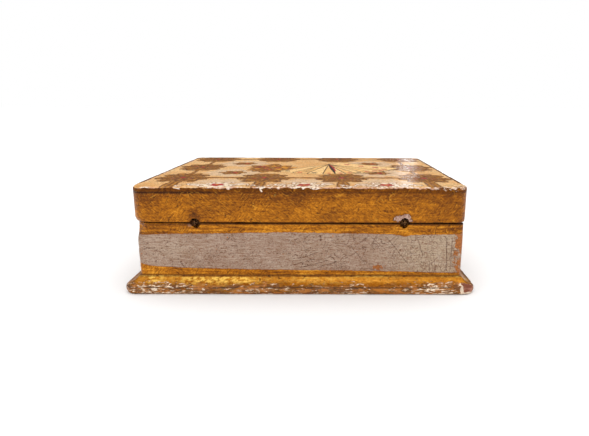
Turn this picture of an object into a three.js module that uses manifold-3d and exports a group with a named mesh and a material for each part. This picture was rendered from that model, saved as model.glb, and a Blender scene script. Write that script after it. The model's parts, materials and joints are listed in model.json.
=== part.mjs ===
// A wooden box for playing cards: a moulded plinth, four walls, and a shallow hinged lid.
// Two pairs of interlinked wire split pins hinge the lid along the back edge.
// Millimetres, +Z up, +X along the length. The hinged side faces -Y, the opening side +Y.
import * as THREE from 'three';
import { mergeVertices } from 'three/addons/utils/BufferGeometryUtils.js';
import Module from 'manifold-3d';

const wasm = await Module();
wasm.setup();

// Lid, the widest thing above the plinth.
const lidLength = 162;
const lidDepth = 130.4;
const lidCorner = 6.2;               // plan radius of the worn corners
const lidTop = 52.4;                // height of the painted face
const panelThickness = 2.5;
const panelArris = 1.0;             // rounding of the top edge

// Walls of the lid and the body.
const wallThickness = 6.4;
const arris = 0.45;                 // rounding of the long edges at the seam and under the panel
const seamBottom = 34.5;            // top of the body walls
const seamGap = 0.5;                // the dark line that shows between lid and body

// Body, set in a little under the lid.
const lidOverhang = 1.0;
const bodyCorner = 2.4;
const bodyLength = lidLength - 2 * lidOverhang;
const bodyDepth = lidDepth - 2 * lidOverhang;

// Plinth board: how far its moulding reaches past the body, and its height.
const plinthHeight = 7.8;
const plinthReach = 6.3;
const plinthCorner = 6.4;           // plan radius at the nose
const slopeReach = 5.0;             // where the hollow slope meets the rounded nose
const slopeBottom = 4.4;
const slopeSag = 0.5;               // how hollow the slope is, downwards
const slopeSagShare = 0.5;          // and how much of that goes inwards
const noseHeight = 2.5;             // level of the nose's furthest point
const footInset = 1.3;              // how far the flat underside stays behind the nose

// A chip off the plinth's nose at the back right corner.
const chipSize = { x: 11, y: 6, z: 5.2 };
const chipDepth = 0.9;
const chipTurn = 0.13;              // radians, so that the break runs out along the nose
const chipLean = 0.1;
const chipPlace = { x: 1.5, z: 0.7 };   // in from the corner, and above the nose's middle

// Hinges: each is one ring on the body linked through one ring on the lid.
const hingeSpacing = 101.2;         // between the two hinges, along X
const wireRadius = 0.4;
const ringRadius = 1.25;            // to the middle of the wire
const legGap = 0.1;                 // between the two legs of one pin
const bendRadius = 0.6;
const clinchLength = 4.2;           // each bent-over leg end inside the box
const clinchClear = 0.3;            // from the wire to the inner face
const notchRadius = 2.6;            // recess around the linked rings
const notchDepth = 3.4;
const holeClear = 0.35;             // around the pair of legs

const lidBottom = seamBottom + seamGap;
const panelBottom = lidTop - panelThickness;
const hingeY = -bodyDepth / 2;
const hingeZ = seamBottom + seamGap / 2;
const legOffset = wireRadius + legGap / 2;

const cornerSteps = 8;
const edgeSteps = 4;
const ringSteps = 14;
const bendSteps = 4;
const wireSides = 8;
const boreSides = 16;

// Joins rings of equal point counts into one closed body, with flat ends.
function loft(rings) {
  const count = rings[0].length;
  const positions = rings.flat().flatMap((p) => [p.x, p.y, p.z]);
  const index = [];
  for (let r = 0; r < rings.length - 1; r += 1) {
    for (let i = 0; i < count; i += 1) {
      const a = r * count + i;
      const b = r * count + (i + 1) % count;
      index.push(a, b, b + count, a, b + count, a + count);
    }
  }
  const last = (rings.length - 1) * count;
  for (let i = 1; i < count - 1; i += 1) {
    index.push(0, i + 1, i);
    index.push(last, last + i, last + i + 1);
  }
  const geometry = new THREE.BufferGeometry();
  geometry.setAttribute('position', new THREE.Float32BufferAttribute(positions, 3));
  geometry.setIndex(index);
  return geometry;
}

// Quarter-round steps, as pairs of inset and height, going up to a top edge.
function topArris(radius, top) {
  const steps = [];
  for (let i = 0; i <= edgeSteps; i += 1) {
    const angle = (i / edgeSteps) * Math.PI / 2;
    steps.push({ inset: radius * (1 - Math.cos(angle)), z: top - radius * (1 - Math.sin(angle)) });
  }
  return steps;
}

// The same, going up from a bottom edge.
function bottomArris(radius, bottom) {
  return topArris(radius, 0).reverse().map((step) => ({ inset: step.inset, z: bottom - step.z }));
}

// The corner points of a plan arc, counter-clockwise from a start angle.
function cornerArc(x, y, radius, start) {
  const points = [];
  for (let i = 0; i <= cornerSteps; i += 1) {
    const angle = start + (i / cornerSteps) * Math.PI / 2;
    points.push({ x: x + radius * Math.cos(angle), y: y + radius * Math.sin(angle) });
  }
  return points;
}

// A rounded rectangle in plan, drawn in by an inset, at one height.
function roundedOutline(length, depth, corner, { inset, z }) {
  const radius = Math.max(corner - inset, 0.2);
  const x = length / 2 - inset - radius;
  const y = depth / 2 - inset - radius;
  const plan = [
    ...cornerArc(x, y, radius, 0),
    ...cornerArc(-x, y, radius, Math.PI / 2),
    ...cornerArc(-x, -y, radius, Math.PI),
    ...cornerArc(x, -y, radius, 3 * Math.PI / 2),
  ];
  return plan.map((p) => new THREE.Vector3(p.x, p.y, z));
}

// The plan of the right-hand wall: rounded outside corners, a straight inner face.
function endOutline(length, depth, corner, { inset, z }) {
  const radius = Math.max(corner - inset, 0.2);
  const x = length / 2 - inset - radius;
  const y = depth / 2 - inset - radius;
  const inner = length / 2 - wallThickness;
  const plan = [
    ...cornerArc(x, -y, radius, 3 * Math.PI / 2),
    ...cornerArc(x, y, radius, 0),
    { x: inner, y: depth / 2 - inset },
    { x: inner, y: -depth / 2 + inset },
  ];
  return plan.map((p) => new THREE.Vector3(p.x, p.y, z));
}

// An end wall, the full depth of the box. side is 1 for the right and -1 for the left.
function endWall(side, length, depth, corner, profile) {
  const geometry = loft(profile.map((step) => endOutline(length, depth, corner, step)));
  if (side < 0) {
    geometry.rotateZ(Math.PI);
  }
  return geometry;
}

// A long wall between the end walls. side is 1 for the front and -1 for the back.
function longWall(side, length, depth, profile) {
  const half = length / 2 - wallThickness;
  const inner = depth / 2 - wallThickness;
  const section = profile.map((step) => ({ y: depth / 2 - step.inset, z: step.z }));
  section.push({ y: inner, z: profile[profile.length - 1].z });
  section.push({ y: inner, z: profile[0].z });
  const ring = (x) => section.map((p) => new THREE.Vector3(x, p.y, p.z));
  const geometry = loft([ring(-half), ring(half)]);
  if (side < 0) {
    geometry.rotateZ(Math.PI);
  }
  return geometry;
}

function toSolid(geometry) {
  const bare = new THREE.BufferGeometry();
  bare.setAttribute('position', geometry.getAttribute('position'));
  bare.setIndex(geometry.getIndex());
  const merged = mergeVertices(bare, 1e-4);
  return new wasm.Manifold(new wasm.Mesh({
    numProp: 3,
    vertProperties: new Float32Array(merged.getAttribute('position').array),
    triVerts: new Uint32Array(merged.getIndex().array),
  }));
}

function toGeometry(solid) {
  const mesh = solid.getMesh();
  const geometry = new THREE.BufferGeometry();
  geometry.setAttribute('position', new THREE.Float32BufferAttribute(mesh.vertProperties, 3));
  geometry.setIndex(Array.from(mesh.triVerts));
  return geometry;
}

function subtract(geometry, cutters) {
  const cut = cutters.reduce((solid, cutter) => solid.subtract(toSolid(cutter)), toSolid(geometry));
  return toGeometry(cut);
}

// The plinth board's edge, from the flat underside up to the groove under the walls.
function plinthProfile() {
  const foot = plinthReach - footInset;
  const steps = [{ out: foot, z: 0 }];
  for (let i = 1; i <= edgeSteps; i += 1) {
    const angle = (i / edgeSteps) * Math.PI / 2;
    const out = foot + footInset * Math.sin(angle);
    steps.push({ out, z: noseHeight * (1 - Math.cos(angle)) });
  }
  const shoulder = plinthReach - slopeReach;
  for (let i = 1; i <= edgeSteps; i += 1) {
    const angle = (i / edgeSteps) * Math.PI / 2;
    const z = noseHeight + (slopeBottom - noseHeight) * Math.sin(angle);
    steps.push({ out: plinthReach - shoulder * (1 - Math.cos(angle)), z });
  }
  for (let i = 1; i <= edgeSteps; i += 1) {
    const t = i / edgeSteps;
    const hollow = slopeSag * Math.sin(Math.PI * t);
    const z = slopeBottom + (plinthHeight - slopeBottom) * t - hollow;
    steps.push({ out: slopeReach * (1 - t) - hollow * slopeSagShare, z });
  }
  return steps;
}

function baseBoard() {
  const length = bodyLength + 2 * plinthReach;
  const depth = bodyDepth + 2 * plinthReach;
  const rings = plinthProfile().map((step) => {
    const inset = plinthReach - step.out;
    return roundedOutline(length, depth, plinthCorner, { inset, z: step.z });
  });
  const chip = new THREE.BoxGeometry(chipSize.x, chipSize.y, chipSize.z);
  chip.rotateX(chipLean);
  chip.rotateZ(chipTurn);
  const chipY = -depth / 2 - chipSize.y / 2 + chipDepth;
  chip.translate(length / 2 - chipPlace.x, chipY, noseHeight + chipPlace.z);
  return subtract(loft(rings), [chip]);
}

// The recess and the drilled hole of one split pin, open towards the hinge axis.
// lift is 1 for the lid's pin, which slants up into its rail, and -1 for the body's.
function pinCutter(x, lift) {
  const mouth = -3;
  const reach = wallThickness * 2.2;
  const bore = legOffset + wireRadius + holeClear;
  const profile = [
    new THREE.Vector2(0, mouth),
    new THREE.Vector2(notchRadius, mouth),
    new THREE.Vector2(notchRadius, 0),
    new THREE.Vector2(bore, notchDepth),
    new THREE.Vector2(bore, reach),
    new THREE.Vector2(0, reach),
  ];
  const cutter = new THREE.LatheGeometry(profile, boreSides);
  cutter.rotateX(lift * Math.PI / 4);
  cutter.translate(x, hingeY, hingeZ);
  return cutter;
}

// One leg of a split pin, from its ring to its bent-over end. The bend turns a quarter
// circle, more on one side and less on the other by the slant of the wall's inner face.
function splitPinLimb(side, legLength, slant) {
  const turn = Math.PI / 2 + side * slant;
  const corner = legLength - side * Math.tan(slant) * legOffset;
  const bendStart = corner - bendRadius * Math.tan(turn / 2);
  const points = [];
  for (let i = 0; i <= bendSteps; i += 1) {
    const angle = (i / bendSteps) * turn;
    const across = legOffset + bendRadius * (1 - Math.cos(angle));
    points.push(new THREE.Vector2(side * across, bendStart + bendRadius * Math.sin(angle)));
  }
  const along = new THREE.Vector2(side * Math.sin(turn), Math.cos(turn));
  points.push(points[bendSteps].clone().addScaledVector(along, clinchLength));
  return points;
}

// A split pin: one wire bent round a ring, its two legs side by side through the wall
// and bent apart inside. It is drawn with the ring at the origin and the legs along +Y.
function splitPinLine(legLength, slant) {
  const meet = Math.asin(legOffset / ringRadius);
  const start = Math.PI / 2 - meet;
  const sweep = 2 * (Math.PI - meet);
  const ring = [];
  for (let i = 0; i <= ringSteps; i += 1) {
    const angle = start - (i / ringSteps) * sweep;
    ring.push(new THREE.Vector2(ringRadius * Math.cos(angle), ringRadius * Math.sin(angle)));
  }
  return [
    ...splitPinLimb(1, legLength, slant).reverse(),
    ...ring,
    ...splitPinLimb(-1, legLength, slant),
  ];
}

// Sweeps the round wire along a line of points in one plane.
function wire(points) {
  const rings = points.map((p, i) => {
    const before = points[Math.max(i - 1, 0)];
    const after = points[Math.min(i + 1, points.length - 1)];
    const along = after.clone().sub(before).normalize();
    const ring = [];
    for (let k = 0; k < wireSides; k += 1) {
      const angle = (k / wireSides) * 2 * Math.PI;
      const out = wireRadius * Math.cos(angle);
      ring.push(new THREE.Vector3(p.x - along.y * out, p.y + along.x * out, wireRadius * Math.sin(angle)));
    }
    return ring;
  });
  return loft(rings);
}

// How far along its slant a pin runs from its ring's middle to the clinched ends.
function legReach(innerFace, start) {
  const clinch = innerFace + clinchClear + wireRadius;
  return (clinch - hingeY) * Math.SQRT2 - start;
}

// The body's pin: its ring stands across the hinge axis, centred on it.
function bodyPin(x) {
  const geometry = wire(splitPinLine(legReach(hingeY + wallThickness, 0), Math.PI / 4));
  geometry.rotateY(-Math.PI / 2);
  geometry.rotateX(-Math.PI / 4);
  geometry.translate(x, hingeY, hingeZ);
  return geometry;
}

// The lid's pin: its ring lies along the axis, with the outer stretch inside the body's ring.
function lidPin(x) {
  const innerFace = -lidDepth / 2 + wallThickness;
  const geometry = wire(splitPinLine(legReach(innerFace, ringRadius), 0));
  geometry.translate(0, ringRadius, 0);
  geometry.rotateX(Math.PI / 4);
  geometry.translate(x, hingeY, hingeZ);
  return geometry;
}

const giltWood = new THREE.MeshStandardMaterial({ color: 0xa06126, roughness: 0.42, metalness: 0.55 });
const silveredWood = new THREE.MeshStandardMaterial({ color: 0xa58975, roughness: 0.45, metalness: 0.4 });
const paintedTop = new THREE.MeshStandardMaterial({ color: 0xecc396, roughness: 0.4, metalness: 0 });
const wornPlinth = new THREE.MeshStandardMaterial({ color: 0xb07a3e, roughness: 0.45, metalness: 0.5 });
const agedWire = new THREE.MeshStandardMaterial({ color: 0x5a3c22, roughness: 0.5, metalness: 0.9 });

const box = new THREE.Group();

function addPiece(name, geometry, material) {
  geometry.computeVertexNormals();
  const mesh = new THREE.Mesh(geometry, material);
  mesh.name = name;
  box.add(mesh);
}

const hinges = [
  { side: 'left', x: -hingeSpacing / 2 },
  { side: 'right', x: hingeSpacing / 2 },
];
const bodyProfile = [{ inset: 0, z: plinthHeight }, ...topArris(arris, seamBottom)];
const lidProfile = [...bottomArris(arris, lidBottom), ...topArris(arris * 0.6, panelBottom)];
const panelProfile = [...bottomArris(arris * 0.6, panelBottom), ...topArris(panelArris, lidTop)];

addPiece('base_board', baseBoard(), wornPlinth);

const bodyBack = longWall(-1, bodyLength, bodyDepth, bodyProfile);
const bodyCuts = hinges.map((hinge) => pinCutter(hinge.x, -1));
addPiece('body_back_board', subtract(bodyBack, bodyCuts), silveredWood);
addPiece('body_front_board', longWall(1, bodyLength, bodyDepth, bodyProfile), silveredWood);
addPiece('body_left_board', endWall(-1, bodyLength, bodyDepth, bodyCorner, bodyProfile), silveredWood);
addPiece('body_right_board', endWall(1, bodyLength, bodyDepth, bodyCorner, bodyProfile), silveredWood);

const lidBack = longWall(-1, lidLength, lidDepth, lidProfile);
const lidCuts = hinges.map((hinge) => pinCutter(hinge.x, 1));
addPiece('lid_back_rail', subtract(lidBack, lidCuts), giltWood);
addPiece('lid_front_rail', longWall(1, lidLength, lidDepth, lidProfile), giltWood);
addPiece('lid_left_rail', endWall(-1, lidLength, lidDepth, lidCorner, lidProfile), giltWood);
addPiece('lid_right_rail', endWall(1, lidLength, lidDepth, lidCorner, lidProfile), giltWood);

const panelRings = panelProfile.map((step) => roundedOutline(lidLength, lidDepth, lidCorner, step));
addPiece('lid_top_panel', loft(panelRings), paintedTop);

for (const hinge of hinges) {
  addPiece(`body_hinge_pin_${hinge.side}`, bodyPin(hinge.x), agedWire);
  addPiece(`lid_hinge_pin_${hinge.side}`, lidPin(hinge.x), agedWire);
}

export default box;
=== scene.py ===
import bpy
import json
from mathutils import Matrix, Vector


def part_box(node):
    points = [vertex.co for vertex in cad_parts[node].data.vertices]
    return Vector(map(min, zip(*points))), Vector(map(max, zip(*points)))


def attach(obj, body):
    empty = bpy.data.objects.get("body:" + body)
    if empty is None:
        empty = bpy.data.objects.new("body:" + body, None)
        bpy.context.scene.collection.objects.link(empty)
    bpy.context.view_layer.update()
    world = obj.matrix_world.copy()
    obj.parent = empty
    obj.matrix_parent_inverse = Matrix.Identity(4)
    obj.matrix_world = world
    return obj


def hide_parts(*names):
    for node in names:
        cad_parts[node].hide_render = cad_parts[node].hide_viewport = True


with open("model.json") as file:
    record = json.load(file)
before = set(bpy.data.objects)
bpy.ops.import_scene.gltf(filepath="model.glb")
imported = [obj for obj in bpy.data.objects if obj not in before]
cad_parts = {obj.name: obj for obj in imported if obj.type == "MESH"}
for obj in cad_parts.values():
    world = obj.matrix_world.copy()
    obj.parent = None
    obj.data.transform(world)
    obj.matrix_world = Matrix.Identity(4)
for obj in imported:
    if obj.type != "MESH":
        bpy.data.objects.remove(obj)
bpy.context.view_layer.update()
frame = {"record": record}

import json
import math
from collections import defaultdict
from itertools import product

import bmesh
import bpy
import numpy as np
from mathutils import Euler

# Lengths are in millimetres until a mesh is made, and shader vectors are in millimetres too.
mm = 0.001
print("frame loaded")


def cornersOf(node):
    low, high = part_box(node)
    return np.array(low) / mm, np.array(high) / mm


_, baseHigh = cornersOf("base_board")
bodyLow, bodyHigh = cornersOf("body_right_board")
railLow, railHigh = cornersOf("lid_right_rail")
panelLow, panelHigh = cornersOf("lid_top_panel")
# half of the length and depth of each
bodyHalf, lidHalf, baseHalf = bodyHigh[:2], railHigh[:2], baseHigh[:2]
wallThickness = bodyHigh[0] - bodyLow[0]
hingeAxis = np.array(frame["record"]["behaviour"]["joints"][0]["pos_m"]) / mm
hingePlaces = [sum(cornersOf("body_hinge_pin_" + side))[0] / 2 for side in ("left", "right")]

# Noise for shapes: a fixed lattice of random numbers, so every run gives the same box.
latticeSize = 32
lattice = np.random.RandomState(11).rand(latticeSize, latticeSize, latticeSize)


def cloud(points, size, octaves=2, shift=0.0):
    # smooth noise from -1 to 1, in features of that size. shift gives another pattern
    total = np.zeros(len(points))
    weight, reach = 1.0, 0.0
    where = np.asarray(points, dtype=float) / size + shift
    for _ in range(octaves):
        cell = np.floor(where).astype(int)
        part = where - cell
        part = part * part * (3 - 2 * part)
        value = np.zeros(len(points))
        for corner in product((0, 1), repeat=3):
            at = (cell + corner) % latticeSize
            share = np.prod(np.where(corner, part, 1 - part), axis=1)
            value += share * lattice[at[:, 0], at[:, 1], at[:, 2]]
        total += weight * (2 * value - 1)
        reach += weight
        weight *= 0.5
        where = where * 2.03 + 5.7
    return total / reach


def smooth(value, low, high):
    t = np.clip((value - low) / (high - low), 0, 1)
    return t * t * (3 - 2 * t)


# Mesh building. A path runs once round the box in plan, and rows of points follow it.
def stretch(start, end, spacing, spots=(), closest=0.3, reach=5.0):
    # positions from start to end, the end left out, closer together within reach of each spot
    fine = np.linspace(start, end, 4000)
    gap = np.full(len(fine), spacing)
    for spot in spots:
        closeness = np.exp(-((fine - spot) / reach) ** 4)
        gap = gap * (1 - closeness) + closest * closeness
    count = np.concatenate([[0], np.cumsum(np.abs(np.diff(fine)) / gap[1:])])
    steps = max(2, int(round(count[-1])))
    return np.interp(np.arange(steps) * count[-1] / steps, count, fine)


def wallPath(half, radius, spacing, spots=()):
    # points and outward normals round a rectangle with rounded corners
    coreX, coreY = half[0] - radius, half[1] - radius
    turnSteps = max(6, int(radius * math.pi / 2 / (spacing * 0.7)))
    points, normals = [], []
    runs = [
        (stretch(-coreX, coreX, spacing, spots), None, -half[1], (0, -1)),
        (stretch(-coreY, coreY, spacing), half[0], None, (1, 0)),
        (stretch(coreX, -coreX, spacing), None, half[1], (0, 1)),
        (stretch(coreY, -coreY, spacing), -half[0], None, (-1, 0)),
    ]
    centres = np.array([(coreX, -coreY), (coreX, coreY), (-coreX, coreY), (-coreX, -coreY)])
    for side, (run, x, y, normal) in enumerate(runs):
        for value in run:
            points.append((value if x is None else x, value if y is None else y))
            normals.append(normal)
        for step in range(turnSteps):
            angle = math.radians(-90 + 90 * side) + step / turnSteps * math.pi / 2
            normal = np.array([math.cos(angle), math.sin(angle)])
            points.append(centres[side] + radius * normal)
            normals.append(normal)
    return np.array(points), np.array(normals)


def outerRow(path, out, z):
    # the path moved outward and set at one height
    points, normals = path
    plan = points + normals * out
    return np.column_stack([plan, np.full(len(plan), z)])


def innerRow(path, half, z):
    # the same number of points on the straight-cornered inside of a wall
    plan = np.clip(path[0], -half, half)
    return np.column_stack([plan, np.full(len(plan), z)])


def normalsOf(path, rise):
    # outward directions of a row, tipped up by rise: 0 is level, 1 straight up
    tip = math.radians(90 * rise)
    level = path[1] * math.cos(tip)
    return np.column_stack([level, np.full(len(level), math.sin(tip))])


def skin(name, rows, slots, closed=True, caps=()):
    # joins rows into one mesh. slots gives each band's material, caps the rows filled flat
    count = len(rows[0])
    verts = np.concatenate(rows) * mm
    bands = len(rows) if closed else len(rows) - 1
    around = np.arange(count)
    nextAround = (around + 1) % count
    faces, faceSlots = [], []
    for band in range(bands):
        here, there = band * count, (band + 1) % len(rows) * count
        quads = np.column_stack([here + around, here + nextAround, there + nextAround, there + around])
        faces.extend(quads.tolist())
        faceSlots.extend([slots[band]] * count)
    for row, slot, flip in caps:
        loop = (row * count + around).tolist()
        faces.append(loop[::-1] if flip else loop)
        faceSlots.append(slot)
    return finishMesh(name, verts, faces, faceSlots)


def finishMesh(name, verts, faces, faceSlots, sharp=40):
    # welds what lies together and shades it smooth, but for edges sharper than that many degrees
    mesh = bpy.data.meshes.new(name)
    mesh.from_pydata(verts.tolist(), [], faces)
    mesh.polygons.foreach_set("material_index", faceSlots)
    work = bmesh.new()
    work.from_mesh(mesh)
    bmesh.ops.remove_doubles(work, verts=work.verts, dist=0.02 * mm)
    bmesh.ops.dissolve_degenerate(work, edges=work.edges, dist=0.005 * mm)
    bmesh.ops.recalc_face_normals(work, faces=work.faces)
    work.to_mesh(mesh)
    work.free()
    mesh.shade_smooth()
    mesh.set_sharp_from_angle(angle=math.radians(sharp))
    piece = bpy.data.objects.new(name, mesh)
    bpy.context.scene.collection.objects.link(piece)
    return piece


def pointsOf(piece):
    flat = np.empty(len(piece.data.vertices) * 3)
    piece.data.vertices.foreach_get("co", flat)
    return flat.reshape(-1, 3) / mm


def writeField(piece, name, values):
    field = piece.data.attributes.new(name, "FLOAT", "POINT")
    field.data.foreach_set("value", np.asarray(values, dtype=np.float32))


def dress(piece, body, nodes, materials):
    # gives a piece its materials and says what it rides on and the solids it replaces
    for material in materials:
        piece.data.materials.append(material)
    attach(piece, body)
    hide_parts(*nodes)
    print(piece.name, len(piece.data.polygons), "faces")


# Shader helpers
def tone(red, green, blue):
    # a colour as it is seen on a screen, 0 to 255, turned into the linear one that shaders use
    seen = [c / 255 for c in (red, green, blue)]
    return tuple(c / 12.92 if c <= 0.04045 else ((c + 0.055) / 1.055) ** 2.4 for c in seen) + (1.0,)


class Signal:
    # an output socket that can be added, multiplied and so on: each sign places a Math node
    def __init__(self, socket):
        self.socket = socket
        self.tree = socket.id_data

    def __add__(self, other):
        return maths("ADD", self, other)

    def __sub__(self, other):
        return maths("SUBTRACT", self, other)

    def __rsub__(self, other):
        return maths("SUBTRACT", other, self)

    def __mul__(self, other):
        return maths("MULTIPLY", self, other)

    def __truediv__(self, other):
        return maths("DIVIDE", self, other)

    def __rtruediv__(self, other):
        return maths("DIVIDE", other, self)

    def __abs__(self):
        return maths("ABSOLUTE", self)


def feed(node, key, value):
    # links a signal to an input, or sets a plain value on it
    if isinstance(value, Signal):
        value.tree.links.new(value.socket, node.inputs[key])
    else:
        node.inputs[key].default_value = value


def addNode(kind, values, output=0, tree=None, **settings):
    # places a node in the tree that its inputs come from, and gives back one output
    tree = tree or next(value.tree for value in values.values() if isinstance(value, Signal))
    node = tree.nodes.new(kind)
    for key, value in settings.items():
        setattr(node, key, value)
    for key, value in values.items():
        feed(node, key, value)
    return Signal(node.outputs[output])


def maths(operation, *values, clamp=False):
    return addNode("ShaderNodeMath", dict(enumerate(values)), operation=operation, use_clamp=clamp)


def vectorMaths(operation, *values, output=0):
    return addNode("ShaderNodeVectorMath", dict(enumerate(values)), output, operation=operation)


def scaled(vector, amount):
    return addNode("ShaderNodeVectorMath", {0: vector, "Scale": amount}, operation="SCALE")


def stretched(vector, x, y, z):
    return vectorMaths("MULTIPLY", vector, (x, y, z))


def slanted(vector, angle, along, across):
    # turns marks on upright faces by an angle, then draws them out in that direction
    turned = addNode("ShaderNodeMapping", {"Vector": vector, "Rotation": (angle, angle, 0.0)})
    return stretched(turned, along, along, across)


def axisOf(vector, axis):
    return addNode("ShaderNodeSeparateXYZ", {0: vector}, axis)


def ramp(value, low, high, atLow=0.0, atHigh=1.0):
    # a soft step: atLow up to low, atHigh from high on
    return addNode("ShaderNodeMapRange", {
        "Value": value, "From Min": low, "From Max": high, "To Min": atLow, "To Max": atHigh,
    }, interpolation_type="SMOOTHSTEP")


def near(value, centre, full, none, most=1.0):
    # a soft line round one value: most within full of it, nothing beyond none
    return ramp(abs(value - centre), full, none, most, 0.0)


def between(share, first, second):
    return addNode("ShaderNodeMix", {0: share, 2: first, 3: second})


def blend(share, first, second):
    return addNode("ShaderNodeMix", {0: share, 6: first, 7: second}, 2, data_type="RGBA")


def noise(vector, size, detail=2.0, rough=0.5, bend=0.0, output=0):
    return addNode("ShaderNodeTexNoise", {
        "Vector": vector, "Scale": 1.0 / size, "Detail": detail, "Roughness": rough, "Distortion": bend,
    }, output)


def fieldOf(where, name):
    # a field that was written on the mesh, read in the tree that where belongs to
    return addNode("ShaderNodeAttribute", {}, "Fac", where.tree, attribute_name=name)


def bumped(height, depth):
    # a surface normal from a height, depth being the relief in millimetres
    return addNode("ShaderNodeBump", {"Height": height, "Distance": depth * mm, "Strength": 1.0})


def colourRamp(value, *stops):
    shades = addNode("ShaderNodeValToRGB", {"Fac": value})
    elements = shades.socket.node.color_ramp.elements
    while len(elements) < len(stops):
        elements.new(0.5)
    for element, (place, colour) in zip(elements, stops):
        element.position = place
        element.color = colour
    return shades


def newGroup(name, **starts):
    # a node group with a Vector input and others, each with its first value. Gives back those inputs
    tree = bpy.data.node_groups.new(name, "ShaderNodeTree")
    tree.interface.new_socket("Vector", in_out="INPUT", socket_type="NodeSocketVector")
    for title, start in starts.items():
        kind = "NodeSocketVector" if isinstance(start, tuple) else "NodeSocketFloat"
        socket = tree.interface.new_socket(title.capitalize(), in_out="INPUT", socket_type=kind)
        socket.default_value = start
    given = tree.nodes.new("NodeGroupInput")
    signals = [Signal(given.outputs[title.capitalize()]) for title in ("vector", *starts)]
    return signals if starts else signals[0]


def closeGroup(**results):
    # makes the group's outputs and feeds them
    tree = next(iter(results.values())).tree
    for title in results:
        kind = "NodeSocketColor" if title == "color" else "NodeSocketFloat"
        tree.interface.new_socket(title.capitalize(), in_out="OUTPUT", socket_type=kind)
    out = tree.nodes.new("NodeGroupOutput")
    for title, value in results.items():
        feed(out, title.capitalize(), value)
    return tree


def placeGroup(group, **values):
    # puts a node group into the tree of its inputs, and gives back its outputs by name
    titled = {title.capitalize(): value for title, value in values.items()}
    node = addNode("ShaderNodeGroup", titled, node_tree=group).socket.node
    return {socket.name: Signal(socket) for socket in node.outputs}


def swayed(where, size, detail, amount):
    # places moved about at random, in waves of that size
    sway = vectorMaths("SUBTRACT", noise(where, size, detail, output="Color"), (0.5, 0.5, 0.5))
    return vectorMaths("ADD", where, scaled(sway, amount))


# Fine cracks in gesso, paint or leaf. Size is the width of one island and Width that of a crack.
def makeCrackNet():
    where, size, width, bend = newGroup("crackNet", size=4.0, width=0.15, bend=0.6)
    cells = {"Vector": swayed(where, size, 2.0, bend * size), "Scale": 1.0 / size}
    edges = addNode("ShaderNodeTexVoronoi", cells, "Distance", feature="DISTANCE_TO_EDGE")
    return closeGroup(crack=1.0 - ramp(edges, 0.0, width / size))


# One crack along a line between two points, a little wavering.
def makeLineCrack():
    where, start, end, width, waver = newGroup(
        "lineCrack", start=(0, 0, 0), end=(0, 0, 10), width=0.3, waver=0.6)
    along = vectorMaths("SUBTRACT", end, start)
    offset = vectorMaths("SUBTRACT", swayed(where, 2.0, 3.0, waver), start)
    dot = vectorMaths("DOT_PRODUCT", offset, along, output="Value")
    whole = vectorMaths("DOT_PRODUCT", along, along, output="Value")
    share = maths("DIVIDE", dot, whole, clamp=True)
    away = vectorMaths("DISTANCE", offset, scaled(along, share), output="Value")
    taper = width * ramp(maths("PINGPONG", share, 0.5), -0.02, 0.12)
    return closeGroup(crack=1.0 - ramp(away, taper * 0.4, taper))


# Small dark pits and specks, thicker in patches. Amount runs from 0 to 1.
def makePepper():
    where, size, amount = newGroup("pepper", size=0.7, amount=0.5)
    grains = noise(stretched(where, 0.72, 0.72, 1.0), size, 1.5, 0.6)
    thick = ramp(noise(where, 11.0, 3.0, 0.6), 0.3, 0.62, 0.45, 1.0) * amount
    low = 0.76 - thick * 0.17
    return closeGroup(speck=ramp(grains, low, low + 0.05))


# Age cracks that run in long curves. Spacing is the rough distance between them.
def makeRipples():
    where, spacing, width, cover = newGroup("ripples", spacing=2.5, width=0.12, cover=0.5)
    hills = noise(where, spacing * 7.0, 1.6, 0.42)
    level = maths("FRACT", hills * 12.0)
    low = 0.72 - cover * 0.4
    shown = ramp(noise(where, 2.4, 3.0, 0.6), low, low + 0.1)
    crack, lip = near(level, 0.5, 0.0, width), near(level, 0.68, 0.0, width)
    return closeGroup(crack=crack * shown, lip=lip * shown)


# Brush and burnish marks that run along the box.
def makeStreaks():
    where, width = newGroup("streaks", width=0.8)
    return closeGroup(streak=noise(stretched(where, 0.07, 0.07, 1.0), width, 4.0, 0.65))


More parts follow.
